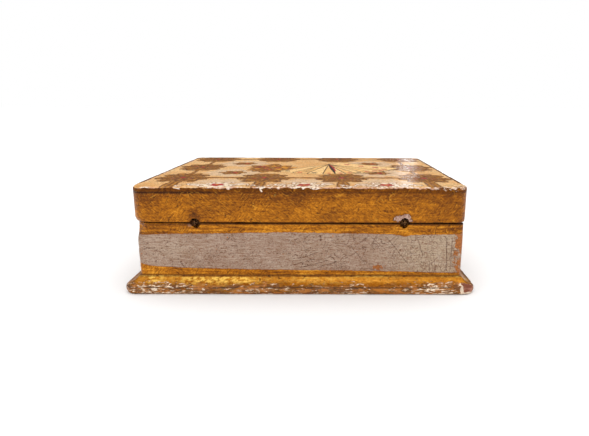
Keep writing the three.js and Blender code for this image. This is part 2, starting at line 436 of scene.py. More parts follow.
# Old leaf gilding under a brown glaze. Shade darkens it, Hatching is how much the brush strokes show.
def makeGilding(look):
    where, shade, hatching = newGroup("gilding", shade=0.0, hatching=1.0)
    broad = noise(where, look["patchSize"], 3.0, 0.6, 0.4)
    cloudy = noise(where, look["mottleSize"], 4.0, 0.62, 0.3)
    grain = noise(stretched(where, 0.5, 0.5, 1.0), look["grainSize"], 2.0, 0.7)
    line = placeGroup(streaks, vector=where, width=look["streakWidth"])["Streak"]
    # short strokes of the glazing brush, leaning one way or the other in patches
    rising = noise(slanted(where, 0.75, 0.15, 1.0), look["hatchSize"], 3.0, 0.65)
    falling = noise(slanted(where, -0.55, 0.15, 1.0), look["hatchSize"], 3.0, 0.65)
    hatch = between(ramp(noise(where, 10.0), 0.44, 0.56), rising, falling)
    hatch = between(hatching, 0.51, hatch)
    mixed = broad * 0.2 + cloudy * 0.15 + grain * 0.34 + hatch * 0.26 + line * 0.24 - 0.1 - shade * 0.3
    colour = colourRamp(mixed, (0.2, look["deep"]), (0.38, look["dark"]), (0.49, look["mid"]),
                        (0.58, look["bright"]), (0.72, look["lit"]))
    wave = placeGroup(ripples, vector=slanted(where, 0.6, 0.7, 1.0), spacing=look["rippleSpacing"],
                      width=0.11, cover=0.45)
    # dark cracks, with a painted highlight on their raised lips
    colour = blend(wave["Crack"] * 0.7, colour, look["deep"])
    colour = blend(wave["Lip"] * 0.38, colour, look["lit"])
    grit = specksOn(where, look)
    colour = blend(grit * 0.7, colour, look["grimeAndShade"])
    colour = blend(ramp(hatch, 0.36, 0.44, 0.55, 0.0), colour, look["deep"])
    colour = blend(ramp(hatch, 0.58, 0.68, 0.0, 0.25), colour, look["lit"])
    scratch = near(hatch, 0.47, 0.0, 0.02) * ramp(cloudy, 0.4, 0.6, 0.6, 0.1)
    colour = blend(scratch, colour, look["deep"])
    height = cloudy * 0.4 + grain * 0.25 + line * 0.3 + hatch * 0.8
    height = height - wave["Crack"] * 0.5 + wave["Lip"] * 0.3 - grit * 0.35
    return closeGroup(color=colour, roughness=cloudy * 0.3 + 0.24 + grit * 0.25, height=height)


# Plain old board, its grain along X.
def makeOldWood(look):
    where = newGroup("oldWood")
    growth = noise(stretched(where, 0.035, 0.5, 0.5), 2.2, 3.0, 0.55, 0.35)
    pores = noise(stretched(where, 0.06, 2.4, 2.4), 0.8, 4.0, 0.7)
    mixed = growth * 0.44 + pores * 0.3 + noise(where, look["stainSize"], 4.0, 0.6) * 0.26
    colour = colourRamp(mixed, (0.38, look["dark"]), (0.5, look["mid"]), (0.62, look["light"]))
    grit = specksOn(where, look)
    colour = blend(grit * 0.5, colour, look["dark"])
    return closeGroup(color=colour, roughness=ramp(pores, 0.2, 0.8, 0.8, 0.55), height=pores + growth * 0.4)


def specksOn(where, look):
    # pepper of the size and amount that a dictionary names
    return placeGroup(pepper, vector=where, size=look["speckSize"], amount=look["speckAmount"])["Speck"]


def crackOn(where, face, start, end, width, waver):
    # a crack on the upright face at that Y, between two places in X and Z
    ends = {"start": (start[0], face, start[1]), "end": (end[0], face, end[1])}
    return placeGroup(lineCrack, vector=where, width=width, waver=waver, **ends)["Crack"]


giltLook = {
    "patchSize": 26.0, "mottleSize": 2.2, "grainSize": 0.62, "streakWidth": 0.6, "rippleSpacing": 1.5,
    "hatchSize": 0.36, "speckSize": 0.6, "speckAmount": 0.5,
    "deep": tone(62, 28, 2), "dark": tone(122, 66, 6), "mid": tone(164, 97, 10),
    "bright": tone(196, 122, 20), "lit": tone(238, 168, 52), "grimeAndShade": tone(54, 26, 8),
}
woodLook = {
    "stainSize": 26.0, "speckSize": 0.8, "speckAmount": 0.35,
    "dark": tone(104, 68, 40), "mid": tone(142, 98, 60), "light": tone(168, 124, 82),
}

crackNet = makeCrackNet()
lineCrack = makeLineCrack()
pepper = makePepper()
ripples = makeRipples()
streaks = makeStreaks()
gilding = makeGilding(giltLook)
oldWood = makeOldWood(woodLook)
print("shader groups made")


def newMaterial(name, coat=0.0, coatRoughness=0.2, specular=0.5):
    # a material, its shader, and the place on the box in millimetres
    material = bpy.data.materials.new(name)
    material.use_nodes = True
    shader = material.node_tree.nodes["Principled BSDF"]
    feed(shader, "Coat Weight", coat)
    feed(shader, "Coat Roughness", coatRoughness)
    feed(shader, "Specular IOR Level", specular)
    where = scaled(addNode("ShaderNodeTexCoord", {}, "Object", material.node_tree), 1 / mm)
    return material, shader, where


def setSurface(shader, colour, roughness, metallic, height, depth):
    feed(shader, "Base Color", colour)
    feed(shader, "Roughness", roughness)
    feed(shader, "Metallic", metallic)
    feed(shader, "Normal", bumped(height, depth))


def makeWoodMaterial():
    material, shader, where = newMaterial("bareWood", specular=0.3)
    wood = placeGroup(oldWood, vector=where)
    setSurface(shader, wood["Color"], wood["Roughness"], 0.0, wood["Height"], 0.15)
    return material


bareWood = makeWoodMaterial()


# The walls of the body: gold strips above and below a silvered band.
walls = {
    "spacing": 0.8, "rowGap": 0.5, "corner": 2.4, "arris": 0.5, "waviness": 0.12, "arrisWear": 0.3,
    "bandTop": 29.3, "bandBottom": 10.8, "bandWave": 0.5, "bandTilt": 0.016,
    # rises and dips of the band's upper edge on the hinged side: place along X, reach and height
    "bandRises": [(-10, 34, 0.5), (-80, 12, -0.7), (51, 2.6, -0.9), (60, 18, -0.4)],
    "netSize": 3.6, "rippleSpacing": 1.7, "speckSize": 0.5, "speckAmount": 0.95,
    # how far each top corner is worn in: the hinged side's left and right, then the other side's
    "cornerWear": [(-1, -1, 2.3), (1, -1, 0.2), (1, 1, 0.7), (-1, 1, 0.6)],
    "silver": tone(160, 134, 116), "silverPale": tone(186, 164, 146), "silverDull": tone(136, 104, 80),
    "silverWarm": tone(192, 172, 144), "tarnish": tone(124, 76, 48), "speck": tone(82, 44, 28),
    "rubbed": tone(136, 82, 42), "spot": tone(186, 112, 52), "gesso": tone(158, 112, 80),
}
# Long cracks on the hinged side: where each starts and ends in X and Z, and its width.
boardCracks = [
    ((71.6, 28.4), (72.4, 8.8), 0.34), ((74.4, 28.2), (74.2, 12.0), 0.22),
    ((9.9, 28.8), (10.1, 25.4), 0.8), ((-78.8, 24.0), (-73.2, 24.2), 0.3),
    ((-78.4, 21.6), (-70.6, 22.0), 0.3), ((73.8, 17.0), (79.6, 17.4), 0.3),
    ((74.6, 21.0), (79.8, 20.6), 0.26), ((57.0, 28.2), (60.6, 17.6), 0.26),
    ((34.0, 28.4), (48.0, 15.5), 0.2), ((41.5, 28.6), (53.5, 13.5), 0.24),
    ((-6.0, 12.6), (8.0, 16.6), 0.22), ((0.0, 11.8), (15.0, 16.0), 0.22),
    ((8.0, 11.8), (20.0, 15.4), 0.2), ((-2.0, 16.0), (9.0, 20.0), 0.2),
    ((24.0, 24.0), (33.0, 13.0), 0.22), ((30.0, 28.0), (37.0, 21.0), 0.2),
    ((64.8, 22.0), (67.4, 9.6), 0.18), ((-59.0, 14.6), (-57.0, 11.6), 0.22),
]


def bump(value, middle, reach):
    return np.exp(-((value - middle) / reach) ** 2)


def bumps(value, spots):
    # several together, each with its place, reach and height
    return sum(height * bump(value, place, reach) for place, reach, height in spots)


def bandEdges(points, hinged):
    # heights of the silvered band's upper and lower edges at these places round the box
    level = points * [1, 1, 0]
    x = points[:, 0]
    top = walls["bandTop"] + cloud(level, 30.0, 2) * walls["bandWave"] + cloud(level, 4.0, 2, 3.3) * 0.2
    top = top + hinged * bumps(x, walls["bandRises"])
    rise = 2.4 * np.exp(-(x + bodyHalf[0]) / 4.0) + 0.4 * bump(x, -72, 12) - walls["bandTilt"] * x
    bottom = walls["bandBottom"] + hinged * rise + cloud(level, 24.0, 2, 9.1) * walls["bandWave"] * 0.7
    return top, bottom


def wearCorners(points, half, wear, low, high, reach=3.6):
    # draws worn corners in, from nearly nothing at one height to the full amount at the other
    lost = np.zeros(len(points))
    for signX, signY, amount in wear:
        away = np.hypot(points[:, 0] - signX * half[0], points[:, 1] - signY * half[1])
        lost += amount * bump(away, 0, reach)
    lost *= (0.15 + 0.85 * smooth(points[:, 2], low, high)) * (1 + 0.25 * cloud(points, 2.0, 2))
    points = points.copy()
    points[:, :2] -= np.sign(points[:, :2]) * lost[:, None]
    return points


def carveNotch(points, lift):
    # the recess that the linked wires sit in: a cone that slants into the wall
    slant = np.array([0.0, 1.0, lift]) / math.sqrt(2)
    mouth, throat, depth = 2.6, 1.2, 3.4
    for x in hingePlaces:
        offset = points - np.array([x, hingeAxis[1], hingeAxis[2]])
        along = offset @ slant
        away = np.linalg.norm(offset - along[:, None] * slant, axis=1)
        ragged = mouth + 0.35 * cloud(points, 1.6, 2, x)
        goal = np.clip((ragged - away) / (mouth - throat), 0, 1) * depth
        move = np.where((along > -3.0) & (away < ragged), np.maximum(goal - along, 0), 0)
        points = points + move[:, None] * slant
    return points


def arrisRows(radius, top, steps=5):
    # outset, height and how far the surface faces up, over a rounded top edge
    for step in range(steps + 1):
        angle = step / steps * math.pi / 2
        yield -radius * (1 - math.cos(angle)), top - radius * (1 - math.sin(angle)), step / steps


def wallRow(path, out, z, rise, wave, low=-math.inf, high=math.inf):
    # a row with the slow unevenness of hand-laid gesso, and chipped where it nears an arris
    row, facing = outerRow(path, out, z), normalsOf(path, rise)
    nearEdge = min(abs(z - low), abs(z - high))
    chip = smooth(cloud(row, 3.0, 3, 2.2), 0.12, 0.5) * math.exp(-nearEdge / 0.8)
    return row + facing * (cloud(row, 38.0, 2) * wave - walls["arrisWear"] * chip)[:, None], facing


def rowsAcross(start, finish, count, wave, lift):
    # evenly spaced rows over a wall's edge, a little uneven
    for step in range(1, count + 1):
        row = start + (finish - start) * step / count
        row[:, 2] += cloud(row, 9.0, 2) * wave + lift
        yield row


def makeBodyWalls():
    path = wallPath(bodyHalf, walls["corner"], walls["spacing"], hingePlaces)
    low, high = bodyLow[2], bodyHigh[2]
    arris = walls["arris"]
    outline = [(0, z, 0) for z in np.linspace(low, high - arris, int((high - low) / walls["rowGap"]))]
    outline += list(arrisRows(arris, high))[1:]
    rows = [wallRow(path, out, z, rise, walls["waviness"], high=high)[0] for out, z, rise in outline]
    slots = [0] * len(rows)
    inner = bodyHalf - wallThickness
    across = int(wallThickness / walls["rowGap"])
    rows += rowsAcross(outerRow(path, -arris, high), innerRow(path, inner, high), across, 0.05, -0.05)
    rows += [innerRow(path, inner, z) for z in (high - 0.6, (low + high) / 2, low)]
    slots += [1] * (len(rows) - len(slots))
    rows = [carveNotch(row, -1) if row[:, 2].max() > high - 8 else row for row in rows]
    rows = [wearCorners(row, bodyHalf, walls["cornerWear"], high - 9, high - 1) for row in rows]
    piece = skin("body_walls", rows, slots)
    points = pointsOf(piece)
    x, y, z = points.T
    hinged = y < -bodyHalf[1] + 3
    top, bottom = bandEdges(points, hinged)
    writeField(piece, "band", np.minimum(top - z, z - bottom))
    pale = 0.55 * smooth(x, 20, 70) + 0.22 * bump(x, -62, 14) * bump(z, 21, 5)
    writeField(piece, "pale", hinged * pale + 0.1 * smooth(cloud(points, 22.0, 2, 1.2), 0, 0.5))
    away = np.hypot(bodyHalf[0] - np.abs(x), bodyHalf[1] - np.abs(y))
    favoured = np.where((x > 0) | (y > 0), 1.0, 0.25)
    rubbed = bump(away, 0, 4.0) * (favoured + 0.5 * bump(z, high, 3))
    # a bare spot low on the hinged side, and wear on its right edge
    rubbed += hinged * bump(np.hypot((x - 39) / 1.8, z - 12.2), 0, 1.8)
    rubbed += hinged * 0.9 * bump(x, bodyHalf[0] - 2.0, 2.6) * bump(z, 24.5, 4.0)
    writeField(piece, "rubbed", rubbed)
    ends = smooth(-x, 36, 68) + 0.5 * smooth(x, 52, 74)
    dull = hinged * ends * 0.45 + 0.3 * smooth(cloud(points, 9.0, 3, 5.5), 0, 0.6)
    writeField(piece, "shade", 0.5 * (z > 27) * dull - 0.14)
    netted = 0.6 * smooth(cloud(points, 40, 1, 8.8), 0, 0.5)
    writeField(piece, "netted", np.where(hinged, smooth(x, 20, 66), netted))
    rippled = smooth(cloud(points, 30, 1, 2.8), 0, 0.5)
    writeField(piece, "rippled", np.where(hinged, bump(x, 34, 34), rippled))
    chip = 1 - np.hypot((x - hingePlaces[0] + 2.4) / 1.5, (z - high + 1.0) / 1.1)
    writeField(piece, "chip", np.where(hinged, chip, -1) + cloud(points, 1.0, 2) * 0.25)
    return piece


def makeWallMaterial():
    material, shader, where = newMaterial("silveredWalls", coat=0.04, coatRoughness=0.3, specular=0.25)
    bands = noise(stretched(where, 0.09, 0.09, 1.0), 1.0, 3.0, 0.6) - 0.5
    gold = placeGroup(gilding, vector=where, shade=fieldOf(where, "shade") + bands * 2.0)
    edge = fieldOf(where, "band") + (noise(where, 0.9, 3.0, 0.7) - 0.5) * 1.1
    band = ramp(edge, -0.12, 0.12)
    # silver leaf
    broad = noise(stretched(where, 0.6, 0.6, 1.0), 9.0, 3.0, 0.55)
    grain = noise(where, 0.55, 3.0, 0.7)
    line = placeGroup(streaks, vector=where, width=0.8)["Streak"]
    fine = placeGroup(streaks, vector=where, width=0.3)["Streak"]
    mixed = broad * 0.26 + grain * 0.68 + line * 0.44 - 0.195
    silver = colourRamp(mixed, (0.34, walls["silverDull"]), (0.48, walls["silver"]),
                        (0.62, walls["silverPale"]))
    silver = blend(fieldOf(where, "pale"), silver, walls["silverWarm"])
    hair = ramp(fine, 0.54, 0.62) * ramp(line, 0.4, 0.56)
    silver = blend(hair * 0.75, silver, walls["tarnish"])
    # cracks in the ground below the leaf
    net = placeGroup(crackNet, vector=stretched(where, 1.25, 1.25, 0.8), size=walls["netSize"],
                     width=0.16, bend=0.7)
    wave = placeGroup(ripples, vector=slanted(where, -0.5, 1.0, 0.3), spacing=walls["rippleSpacing"],
                      width=0.11, cover=0.75)
    netted = fieldOf(where, "netted") * ramp(broad, 0.38, 0.55)
    crack = maths("MAXIMUM", net["Crack"] * netted * 0.7, wave["Crack"] * fieldOf(where, "rippled") * 0.8)
    for start, end, width in boardCracks:
        crack = maths("MAXIMUM", crack, crackOn(where, -bodyHalf[1], start, end, width * 0.8, 0.9))
    silver = blend(crack * 0.85, silver, walls["speck"])
    dashes = noise(stretched(where, 0.28, 0.28, 1.2), 0.5, 2.0, 0.6)
    silver = blend(ramp(dashes, 0.585, 0.65, 0.0, 0.85), silver, walls["tarnish"])
    grit = specksOn(where, walls)
    silver = blend(grit * 0.8, silver, walls["speck"])
    sheen = noise(stretched(where, 0.12, 0.12, 1.0), 0.7, 3.0, 0.6)
    silver = blend(ramp(sheen, 0.5, 0.66, 0.0, 0.7), silver, walls["silverPale"])
    silver = blend(ramp(sheen, 0.34, 0.46, 0.55, 0.0), silver, walls["silverDull"])
    stain = noise(stretched(where, 0.6, 0.6, 1.0), 2.6, 4.0, 0.65)
    silver = blend(ramp(stain, 0.54, 0.66, 0.0, 0.45), silver, walls["silverDull"])
    rust = ramp(grain, 0.52, 0.6) * ramp(line, 0.5, 0.6, 0.0, 0.8)
    silver = blend(rust, silver, walls["tarnish"])
    silver = blend(ramp(noise(where, 1.9), 0.745, 0.765), silver, walls["spot"])
    # rubbed through to gold and bole at the corners
    tatter = noise(stretched(where, 1.0, 1.0, 0.8), 2.2, 5.0, 0.66)
    through = tatter + fieldOf(where, "rubbed") * 0.27
    silver = blend(ramp(through, 0.62, 0.72, 0.0, 0.6), silver, walls["tarnish"])
    bole = colourRamp(grain, (0.42, walls["rubbed"]), (0.58, walls["spot"]))
    silver = blend(ramp(through, 0.68, 0.73), silver, bole)
    colour = blend(band, gold["Color"], silver)
    colour = blend(near(edge, 0.0, 0.05, 0.45, 0.35), colour, walls["tarnish"])
    colour = blend(ramp(fieldOf(where, "chip"), 0.0, 0.2, 0.0, 0.8), colour, walls["gesso"])
    # painted shade just above the plinth, in the crease, and at the seam under the lid, there mostly right
    # of the left hinge
    height, across = axisOf(where, "Z"), axisOf(where, "X")
    footShade = ramp(height, bodyLow[2], bodyLow[2] + 1.1, 0.7, 0.0)
    seam = ramp(height, bodyHigh[2] - 1.3, bodyHigh[2] - 0.2, 0.0, 0.9)
    seam = seam * ramp(across, hingePlaces[0] - 12.0, hingePlaces[0] - 2.0, 0.35, 1.0)
    colour = blend(maths("MAXIMUM", footShade, seam), colour, giltLook["grimeAndShade"])
    relief = gold["Height"] - crack * 0.9 - grit * 0.5 + fine * 0.3
    setSurface(shader, colour, band * 0.1 + gold["Roughness"], 0.55 - band * 0.3, relief, 0.16)
    return material


bodyWalls = makeBodyWalls()
wallNodes = ["body_back_board", "body_front_board", "body_left_board", "body_right_board"]
dress(bodyWalls, "box", wallNodes, [makeWallMaterial(), bareWood])


# The low sides of the lid, gilded all round.
sides = {
    "spacing": 0.8, "rowGap": 0.5, "corner": 6.2, "arris": 0.45, "upperArris": 0.12, "waviness": 0.14,
    "rippleSpacing": 1.7,
    "cornerWear": [(-1, -1, 1.3), (1, -1, 0.1), (1, 1, 0.6), (-1, 1, 0.4)],
    # dark smudges: place in X and Z, reach and how strong
    "smudges": [(-50.6, 38.6, 2.6, 0.3), (14.0, 38.0, 6.0, 0.25), (-74.0, 46.0, 7.0, 0.3),
                (72.0, 44.0, 10.0, 0.25)],
    # gesso chips by the right notch: place along X from it, height over the lid's edge, and half their size
    "chips": [(-2.0, 2.2, 3.2, 1.5), (0.4, 2.6, 2.2, 1.9), (2.2, 1.2, 1.3, 0.8)], "chipDepth": 0.35,
    "gesso": tone(190, 158, 142), "gessoShade": tone(148, 108, 92), "green": tone(128, 120, 62),
}


def chipField(points):
    # how far inside the nearest chipped patch a place is, in millimetres
    field = np.full(len(points), -9.0)
    for x, z, wide, tall in sides["chips"]:
        offset = (points - [hingePlaces[1] + x, -lidHalf[1], railLow[2] + z]) / [wide, 3.0, tall]
        field = np.maximum(field, (1 - np.linalg.norm(offset, axis=1)) * min(wide, tall))
    return field + cloud(points, 1.5, 2, 1.7) * 0.5


def makeLidSides():
    path = wallPath(lidHalf, sides["corner"], sides["spacing"], hingePlaces)
    low, high = railLow[2], railHigh[2]
    arris, upper = sides["arris"], sides["upperArris"]
    levels = np.linspace(low + arris, high - upper, int((high - low) / sides["rowGap"]))
    outline = [(out, low - z, -rise) for out, z, rise in arrisRows(arris, 0.0)][::-1]
    outline += [(0, z, 0) for z in levels[1:]] + list(arrisRows(upper, high, 2))[1:]
    rows = []
    for out, z, rise in outline:
        row, facing = wallRow(path, out, z, rise, sides["waviness"], low=low)
        rows.append(row - facing * (smooth(chipField(row), -0.1, 0.25) * sides["chipDepth"])[:, None])
    slots = [0] * len(rows)
    inner = lidHalf - wallThickness
    edge = outerRow(path, -upper, high)
    rows += [edge + (innerRow(path, inner, high) - edge) * share for share in (0.5, 1.0)]
    rows += [innerRow(path, inner, z) for z in ((low + high) / 2, low)]
    under = rowsAcross(innerRow(path, inner, low), outerRow(path, -arris, low),
                       int(wallThickness / sides["rowGap"]), 0.04, 0.05)
    rows += list(under)[:-1]        # the last one would lie on the first row of all
    slots += [1] * (len(rows) - len(slots))
    rows = [carveNotch(row, 1) if row[:, 2].min() < low + 8 else row for row in rows]
    rows = [wearCorners(row, lidHalf, sides["cornerWear"], low + 2.4, low - 0.3, 5.0) for row in rows]
    piece = skin("lid_sides", rows, slots)
    points = pointsOf(piece)
    x, y, z = points.T
    writeField(piece, "chip", chipField(points))
    smudgeAndShade = 0.2 * smooth(cloud(points, 16.0, 2, 5.1), 0.1, 0.7)
    # painted shade in a band just under the painted edge, strongest at the left
    smudgeAndShade += smooth(z, high - 1.4, high - 0.1) * (0.3 + 0.7 * smooth(-x, 30, 52))
    # the glaze is thickest under the painted edge
    smudgeAndShade += smooth(z, low + 8.0, high - 1.5) * (0.14 + 0.16 * bump(x, 22, 30)) - 0.03
    for place, level, reach, amount in sides["smudges"]:
        away = np.hypot(x - place, z - level) + cloud(points, 3.0, 2) * reach * 0.4
        smudgeAndShade += amount * bump(away, 0, reach) * (y < 0)
    writeField(piece, "smudgeAndShade", smudgeAndShade)
    return piece


def makeSideMaterial():
    material, shader, where = newMaterial("giltSides", coat=0.04, coatRoughness=0.3, specular=0.25)
    blotch = noise(stretched(where, 0.5, 0.5, 1.0), 1.1, 4.0, 0.7) - 0.5
    gold = placeGroup(gilding, vector=where, shade=fieldOf(where, "smudgeAndShade") + blotch * 0.7)
    # longer curved cracks whose raised lips catch the light
    arcs = placeGroup(ripples, vector=slanted(where, -0.7, 0.7, 1.1), spacing=sides["rippleSpacing"],
                      width=0.09, cover=0.4)
    colour = blend(arcs["Crack"] * 0.8, gold["Color"], giltLook["deep"])
    colour = blend(arcs["Lip"] * 0.4, colour, giltLook["lit"])
    height = axisOf(where, "Z")
    green = ramp(noise(where, 1.6, 3.0, 0.7), 0.64, 0.7, 0.0, 0.5)
    colour = blend(green * ramp(height, railHigh[2] - 6.0, railHigh[2] - 2.0), colour, sides["green"])
    torn = fieldOf(where, "chip") + (noise(where, 1.1, 4.0, 0.65) - 0.5) * 2.2
    chip = ramp(torn, -0.05, 0.1)
    colour = blend(near(torn, 0.0, 0.15, 0.5, 0.7), colour, giltLook["grimeAndShade"])
    gesso = blend(ramp(noise(where, 0.9, 3.0), 0.4, 0.6), sides["gessoShade"], sides["gesso"])
    colour = blend(chip, colour, gesso)
    # painted shade along the lower edge, at the seam over the body
    colour = blend(ramp(height, railLow[2] + 0.1, railLow[2] + 0.6, 0.5, 0.0), colour, giltLook["grimeAndShade"])
    relief = gold["Height"] - arcs["Crack"] * 0.8 + arcs["Lip"] * 0.5
    setSurface(shader, colour, gold["Roughness"], (1.0 - chip) * 0.55, relief, 0.16)
    return material


lidSides = makeLidSides()
railNodes = ["lid_back_rail", "lid_front_rail", "lid_left_rail", "lid_right_rail"]
dress(lidSides, "lid", railNodes, [makeSideMaterial(), bareWood])


# The painted top. Its motifs are drawn as fields: a number that is positive inside a shape.
panel = {
    "gap": 0.55, "corner": 6.2, "arris": 1.0, "waviness": 0.1, "border": 2.2,
    "netSize": 9.0, "speckSize": 0.8, "speckAmount": 0.7,
    "cream": tone(224, 170, 104), "creamPale": tone(232, 190, 130), "creamWarm": tone(198, 138, 70),
    "halo": tone(214, 180, 142), "scroll": tone(158, 96, 20), "scrollDark": tone(104, 56, 8),
    "scrollLight": tone(208, 144, 52), "petal": tone(236, 214, 184), "red": tone(184, 36, 40),
    "yellow": tone(238, 156, 20), "card": tone(236, 182, 108), "cardPale": tone(242, 196, 128),
    "ink": tone(64, 46, 26), "white": tone(246, 228, 208), "bare": tone(206, 156, 126),
    # the gold frame, and places along X of the scrolled ornaments and of the flowers between them
    "frameX": 63.0, "frameLow": -34.5, "frameHigh": 52.0, "frameMiddle": 7.0,
    "columns": [-63.5, -20.5, 21.0, 65.0], "flowers": [-40.5, 2.0, 42.0], "groundFlowerRows": [-15.5, 28.0],
    # width and height of an ornament against the drawn one, and the stem from it to the hinged edge
    "ornament": (0.98, 1.4), "frontOrnament": (1.05, 1.3), "stem": (-42.0, -78.0), "stemWidth": 3.0,
    # wear of the upper edge and pits in the paint on the hinged side: place along X, reach, how strong
    "edgeWear": [(-72, 5, 0.6), (-36, 6, 1.3), (-14, 7, 1.5), (5, 9, 1.2), (24, 8, 1.4), (46, 8, 0.9),
                 (72, 11, 2.8)],
    "pitting": [(40, 24, 0.35), (-12, 14, 0.5), (77, 7, 0.8), (-66, 20, -0.35)],
    # pale scratches on that edge: start and end in X and Z, and width
    "scratches": [((-18.8, 51.5), (-17.7, 49.9), 0.5), ((-60.0, 51.9), (-56.5, 51.3), 0.3)],
}


def disc(points, x, y, radius):
    return radius - np.hypot(points[:, 0] - x, points[:, 1] - y)


def leaf(points, start, end, width):
    # a pointed leaf between two points
    start, end = np.array(start, float), np.array(end, float)
    span = np.linalg.norm(end - start)
    along = (end - start) / span
    offset = points[:, :2] - start
    u = offset @ along / span
    v = np.abs(offset @ np.array([-along[1], along[0]]))
    swell = width * np.sin(np.pi * np.clip(u, 0, 1)) ** 0.75
    beyond = np.maximum(np.maximum(-u, u - 1), 0) * span
    return np.where(beyond > 0, -np.hypot(beyond, v), (swell - v) * 0.9)


def rosette(points, x, y, radius, petals, depth, turn=0.0):
    dx, dy = points[:, 0] - x, points[:, 1] - y
    angle = np.arctan2(dy, dx) + turn
    return (radius * (1 + depth * np.cos(petals * angle)) - np.hypot(dx, dy)) * 0.85


def union(*fields):
    return np.max(fields, axis=0)


def seamOf(fields):
    # small where two shapes meet, so that a line can be drawn between them
    ordered = np.sort(np.array(fields), axis=0)
    return ordered[-1] - ordered[-2]


def palmette(points, x, y, wide, tall, down):
    # a broad scrolled ornament, the veins inside it and the seams between its leaves.
    # down is 1 where it points to the hinged side
    def at(u, v):
        return (x + u * wide, y - v * tall * down)

    shapes, veins = [], []
    for root, tip, width in ((-3, 13, 5.4), (3, -11, 5.6)):
        shapes.append(leaf(points, at(0, root), at(0, tip), width * wide))
    for root, tip in ((2, 9), (-2, -7)):
        veins.append(leaf(points, at(0, root), at(0, tip), 0.6 * wide))
    for side in (-1, 1):
        for root, (u, v), width in ((1, (9, 10), 4.6), (0, (13.5, 3.0), 5.6), (-1, (11, -6.5), 5.0)):
            shapes.append(leaf(points, at(0, root), at(u * side, v), width * wide))
            veins.append(leaf(points, at(2.5 * side, root), at(0.85 * u * side, 0.85 * v), 0.5 * wide))
        for u, v, radius in ((10.4, 2.6, 3.8), (8.8, -5.0, 3.6), (7.4, 8.4, 3.0), (4.6, -9.0, 2.4)):
            shapes.append(disc(points, *at(u * side, v), radius * wide))
    return union(*shapes), union(*veins), seamOf(shapes)


def cardShape(points, turn):
    # a rounded card that fans out from the pivot, one long edge through it
    away = np.array([math.sin(turn), -math.cos(turn)])
    across = np.array([away[1], -away[0]])
    offset = points[:, :2] - np.array(fan["pivot"])
    halfLength, halfWidth, corner = fan["length"] / 2, fan["width"] / 2, fan["corner"]
    u = np.abs(offset @ away - fan["start"] - halfLength) - (halfLength - corner)
    v = np.abs(offset @ across + halfWidth) - (halfWidth - corner)
    outside = np.hypot(np.maximum(u, 0), np.maximum(v, 0))
    return corner - outside - np.minimum(np.maximum(u, v), 0)


def pip(points, place, size, suit, turn):
    # a card suit mark: 0 diamond, 1 heart, 2 spade, 3 club. Its top points away from the pivot
    away = np.array([math.sin(turn), -math.cos(turn)])
    across = np.array([-away[1], away[0]])
    offset = (points[:, :2] - np.array(place)) / size
    u, v = offset @ across, offset @ away
    if suit == 0:
        return (1 - np.abs(u) * 1.3 - np.abs(v)) * 0.65 * size
    local = np.column_stack([u, -v if suit == 1 else v])
    lobes = [disc(local, 0.42 * side, -0.22, 0.46) for side in (-1, 1)]
    if suit == 3:
        lobes.append(disc(local, 0, 0.4, 0.44))
    else:
        lobes.append((0.98 - np.abs(local[:, 0]) * 1.25 - np.abs(local[:, 1] + 0.1)) * 0.6)
    if suit >= 2:
        lobes.append(leaf(local, (0, 0), (0, -1.15), 0.2))
    return union(*lobes) * size


# The fan of cards: the turn of each in degrees, its suit, and the marks at its outer end.
fan = {
    "pivot": (14.8, 25.0), "turns": [-42, -29, -17, -5, 4, 12, 20, 28, 36, 44, 51],
    "suits": [3, 1, 2, 0, 1, 1, 2, 0, 1, 1, 0],
    "start": -1.0, "length": 46.0, "width": 13.0, "corner": 2.0,
    "pipLean": 4.5, "pipReach": 41.0, "pipSize": 2.0,
    # marks down the middle of the last card
    "lastPips": [10.0, 21.0, 32.0], "lastPipSize": 2.6,
}
# The flowers along the hinged side: leaves beside each, as their field, start, end and width, and
# white curls, as distance along X, place in Y and radius.
borderFlowers = {
    "haloY": -53.0, "petalY": -59.5, "heartY": -58.5,
    "leaves": [("petal", (6, -60.0), (15, -56.0), 1.9), ("vein", (5, -56.0), (11, -50.5), 0.8),
               ("vein", (7, -60.5), (13, -58.5), 0.6)],
    "curls": [(7.5, -60.0, 2.2), (12.0, -56.5, 2.6), (4.5, -53.0, 2.0), (16.5, -60.5, 1.8)],
}
# The posy of round flowers: the place and radius of each, and the tips of its leaves.
posy = {
    "middle": (-21, 5),
    "flowers": [
        (-27, 12, 2.4), (-20, 14, 2.0), (-13, 9, 2.6), (-24, 5, 2.2), (-16, 0, 2.4), (-29, 1, 1.8),
        (-21, -3, 2.0), (-12, 2, 1.6), (-25, 17, 1.6), (-17, 6, 1.8), (-33, -8, 1.3), (-9, -8, 1.4),
        (-30, 8, 1.4), (-7, 8, 1.9), (-14, 15, 1.4), (-8, 0, 1.8),
    ],
    "leafTips": [(-34, 18), (-9, 18), (-34, -5), (-7, -4), (-24, -15), (-15, -13), (-30, -11), (-20, 27),
                 (-35, 6), (-6, 6)],
}


def drawOrnaments(points, shapes):
    def ornament(x, y, size, down):
        shape, vein, seam = palmette(points, x, y, *size, down)
        shapes["scroll"].append(shape)
        shapes["vein"].append(vein)
        shapes["seam"].append(np.where(shape > -1, seam, 9.0))
        shapes["red"].append(rosette(points, x, y - down, 1.7, 5, 0.25))
        for side in (-1, 1):
            start, end = (x + 3 * side, y - 2.4 * down), (x + 6.4 * side, y - 4.6 * down)
            shapes["red"].append(leaf(points, start, end, 0.6))

    low, high, columns = panel["frameLow"], panel["frameHigh"], panel["columns"]
    for x in columns:
        ornament(x, low, panel["ornament"], 1)
        ornament(x, high, panel["frontOrnament"], -1)
        start, end = panel["stem"]
        shapes["scroll"].append(leaf(points, (x, start), (x, end), panel["stemWidth"]))
    for x in (columns[0], columns[-1]):
        ornament(x, panel["frameMiddle"], panel["ornament"], -1)
    beyond = np.abs(points[:, 1] - (low + high) / 2) - (high - low) / 2
    aside = np.abs(points[:, 0]) - panel["frameX"]
    shapes["goldLine"].append(np.where(beyond > aside, 1.7, 0.7) - np.abs(np.maximum(aside, beyond)))


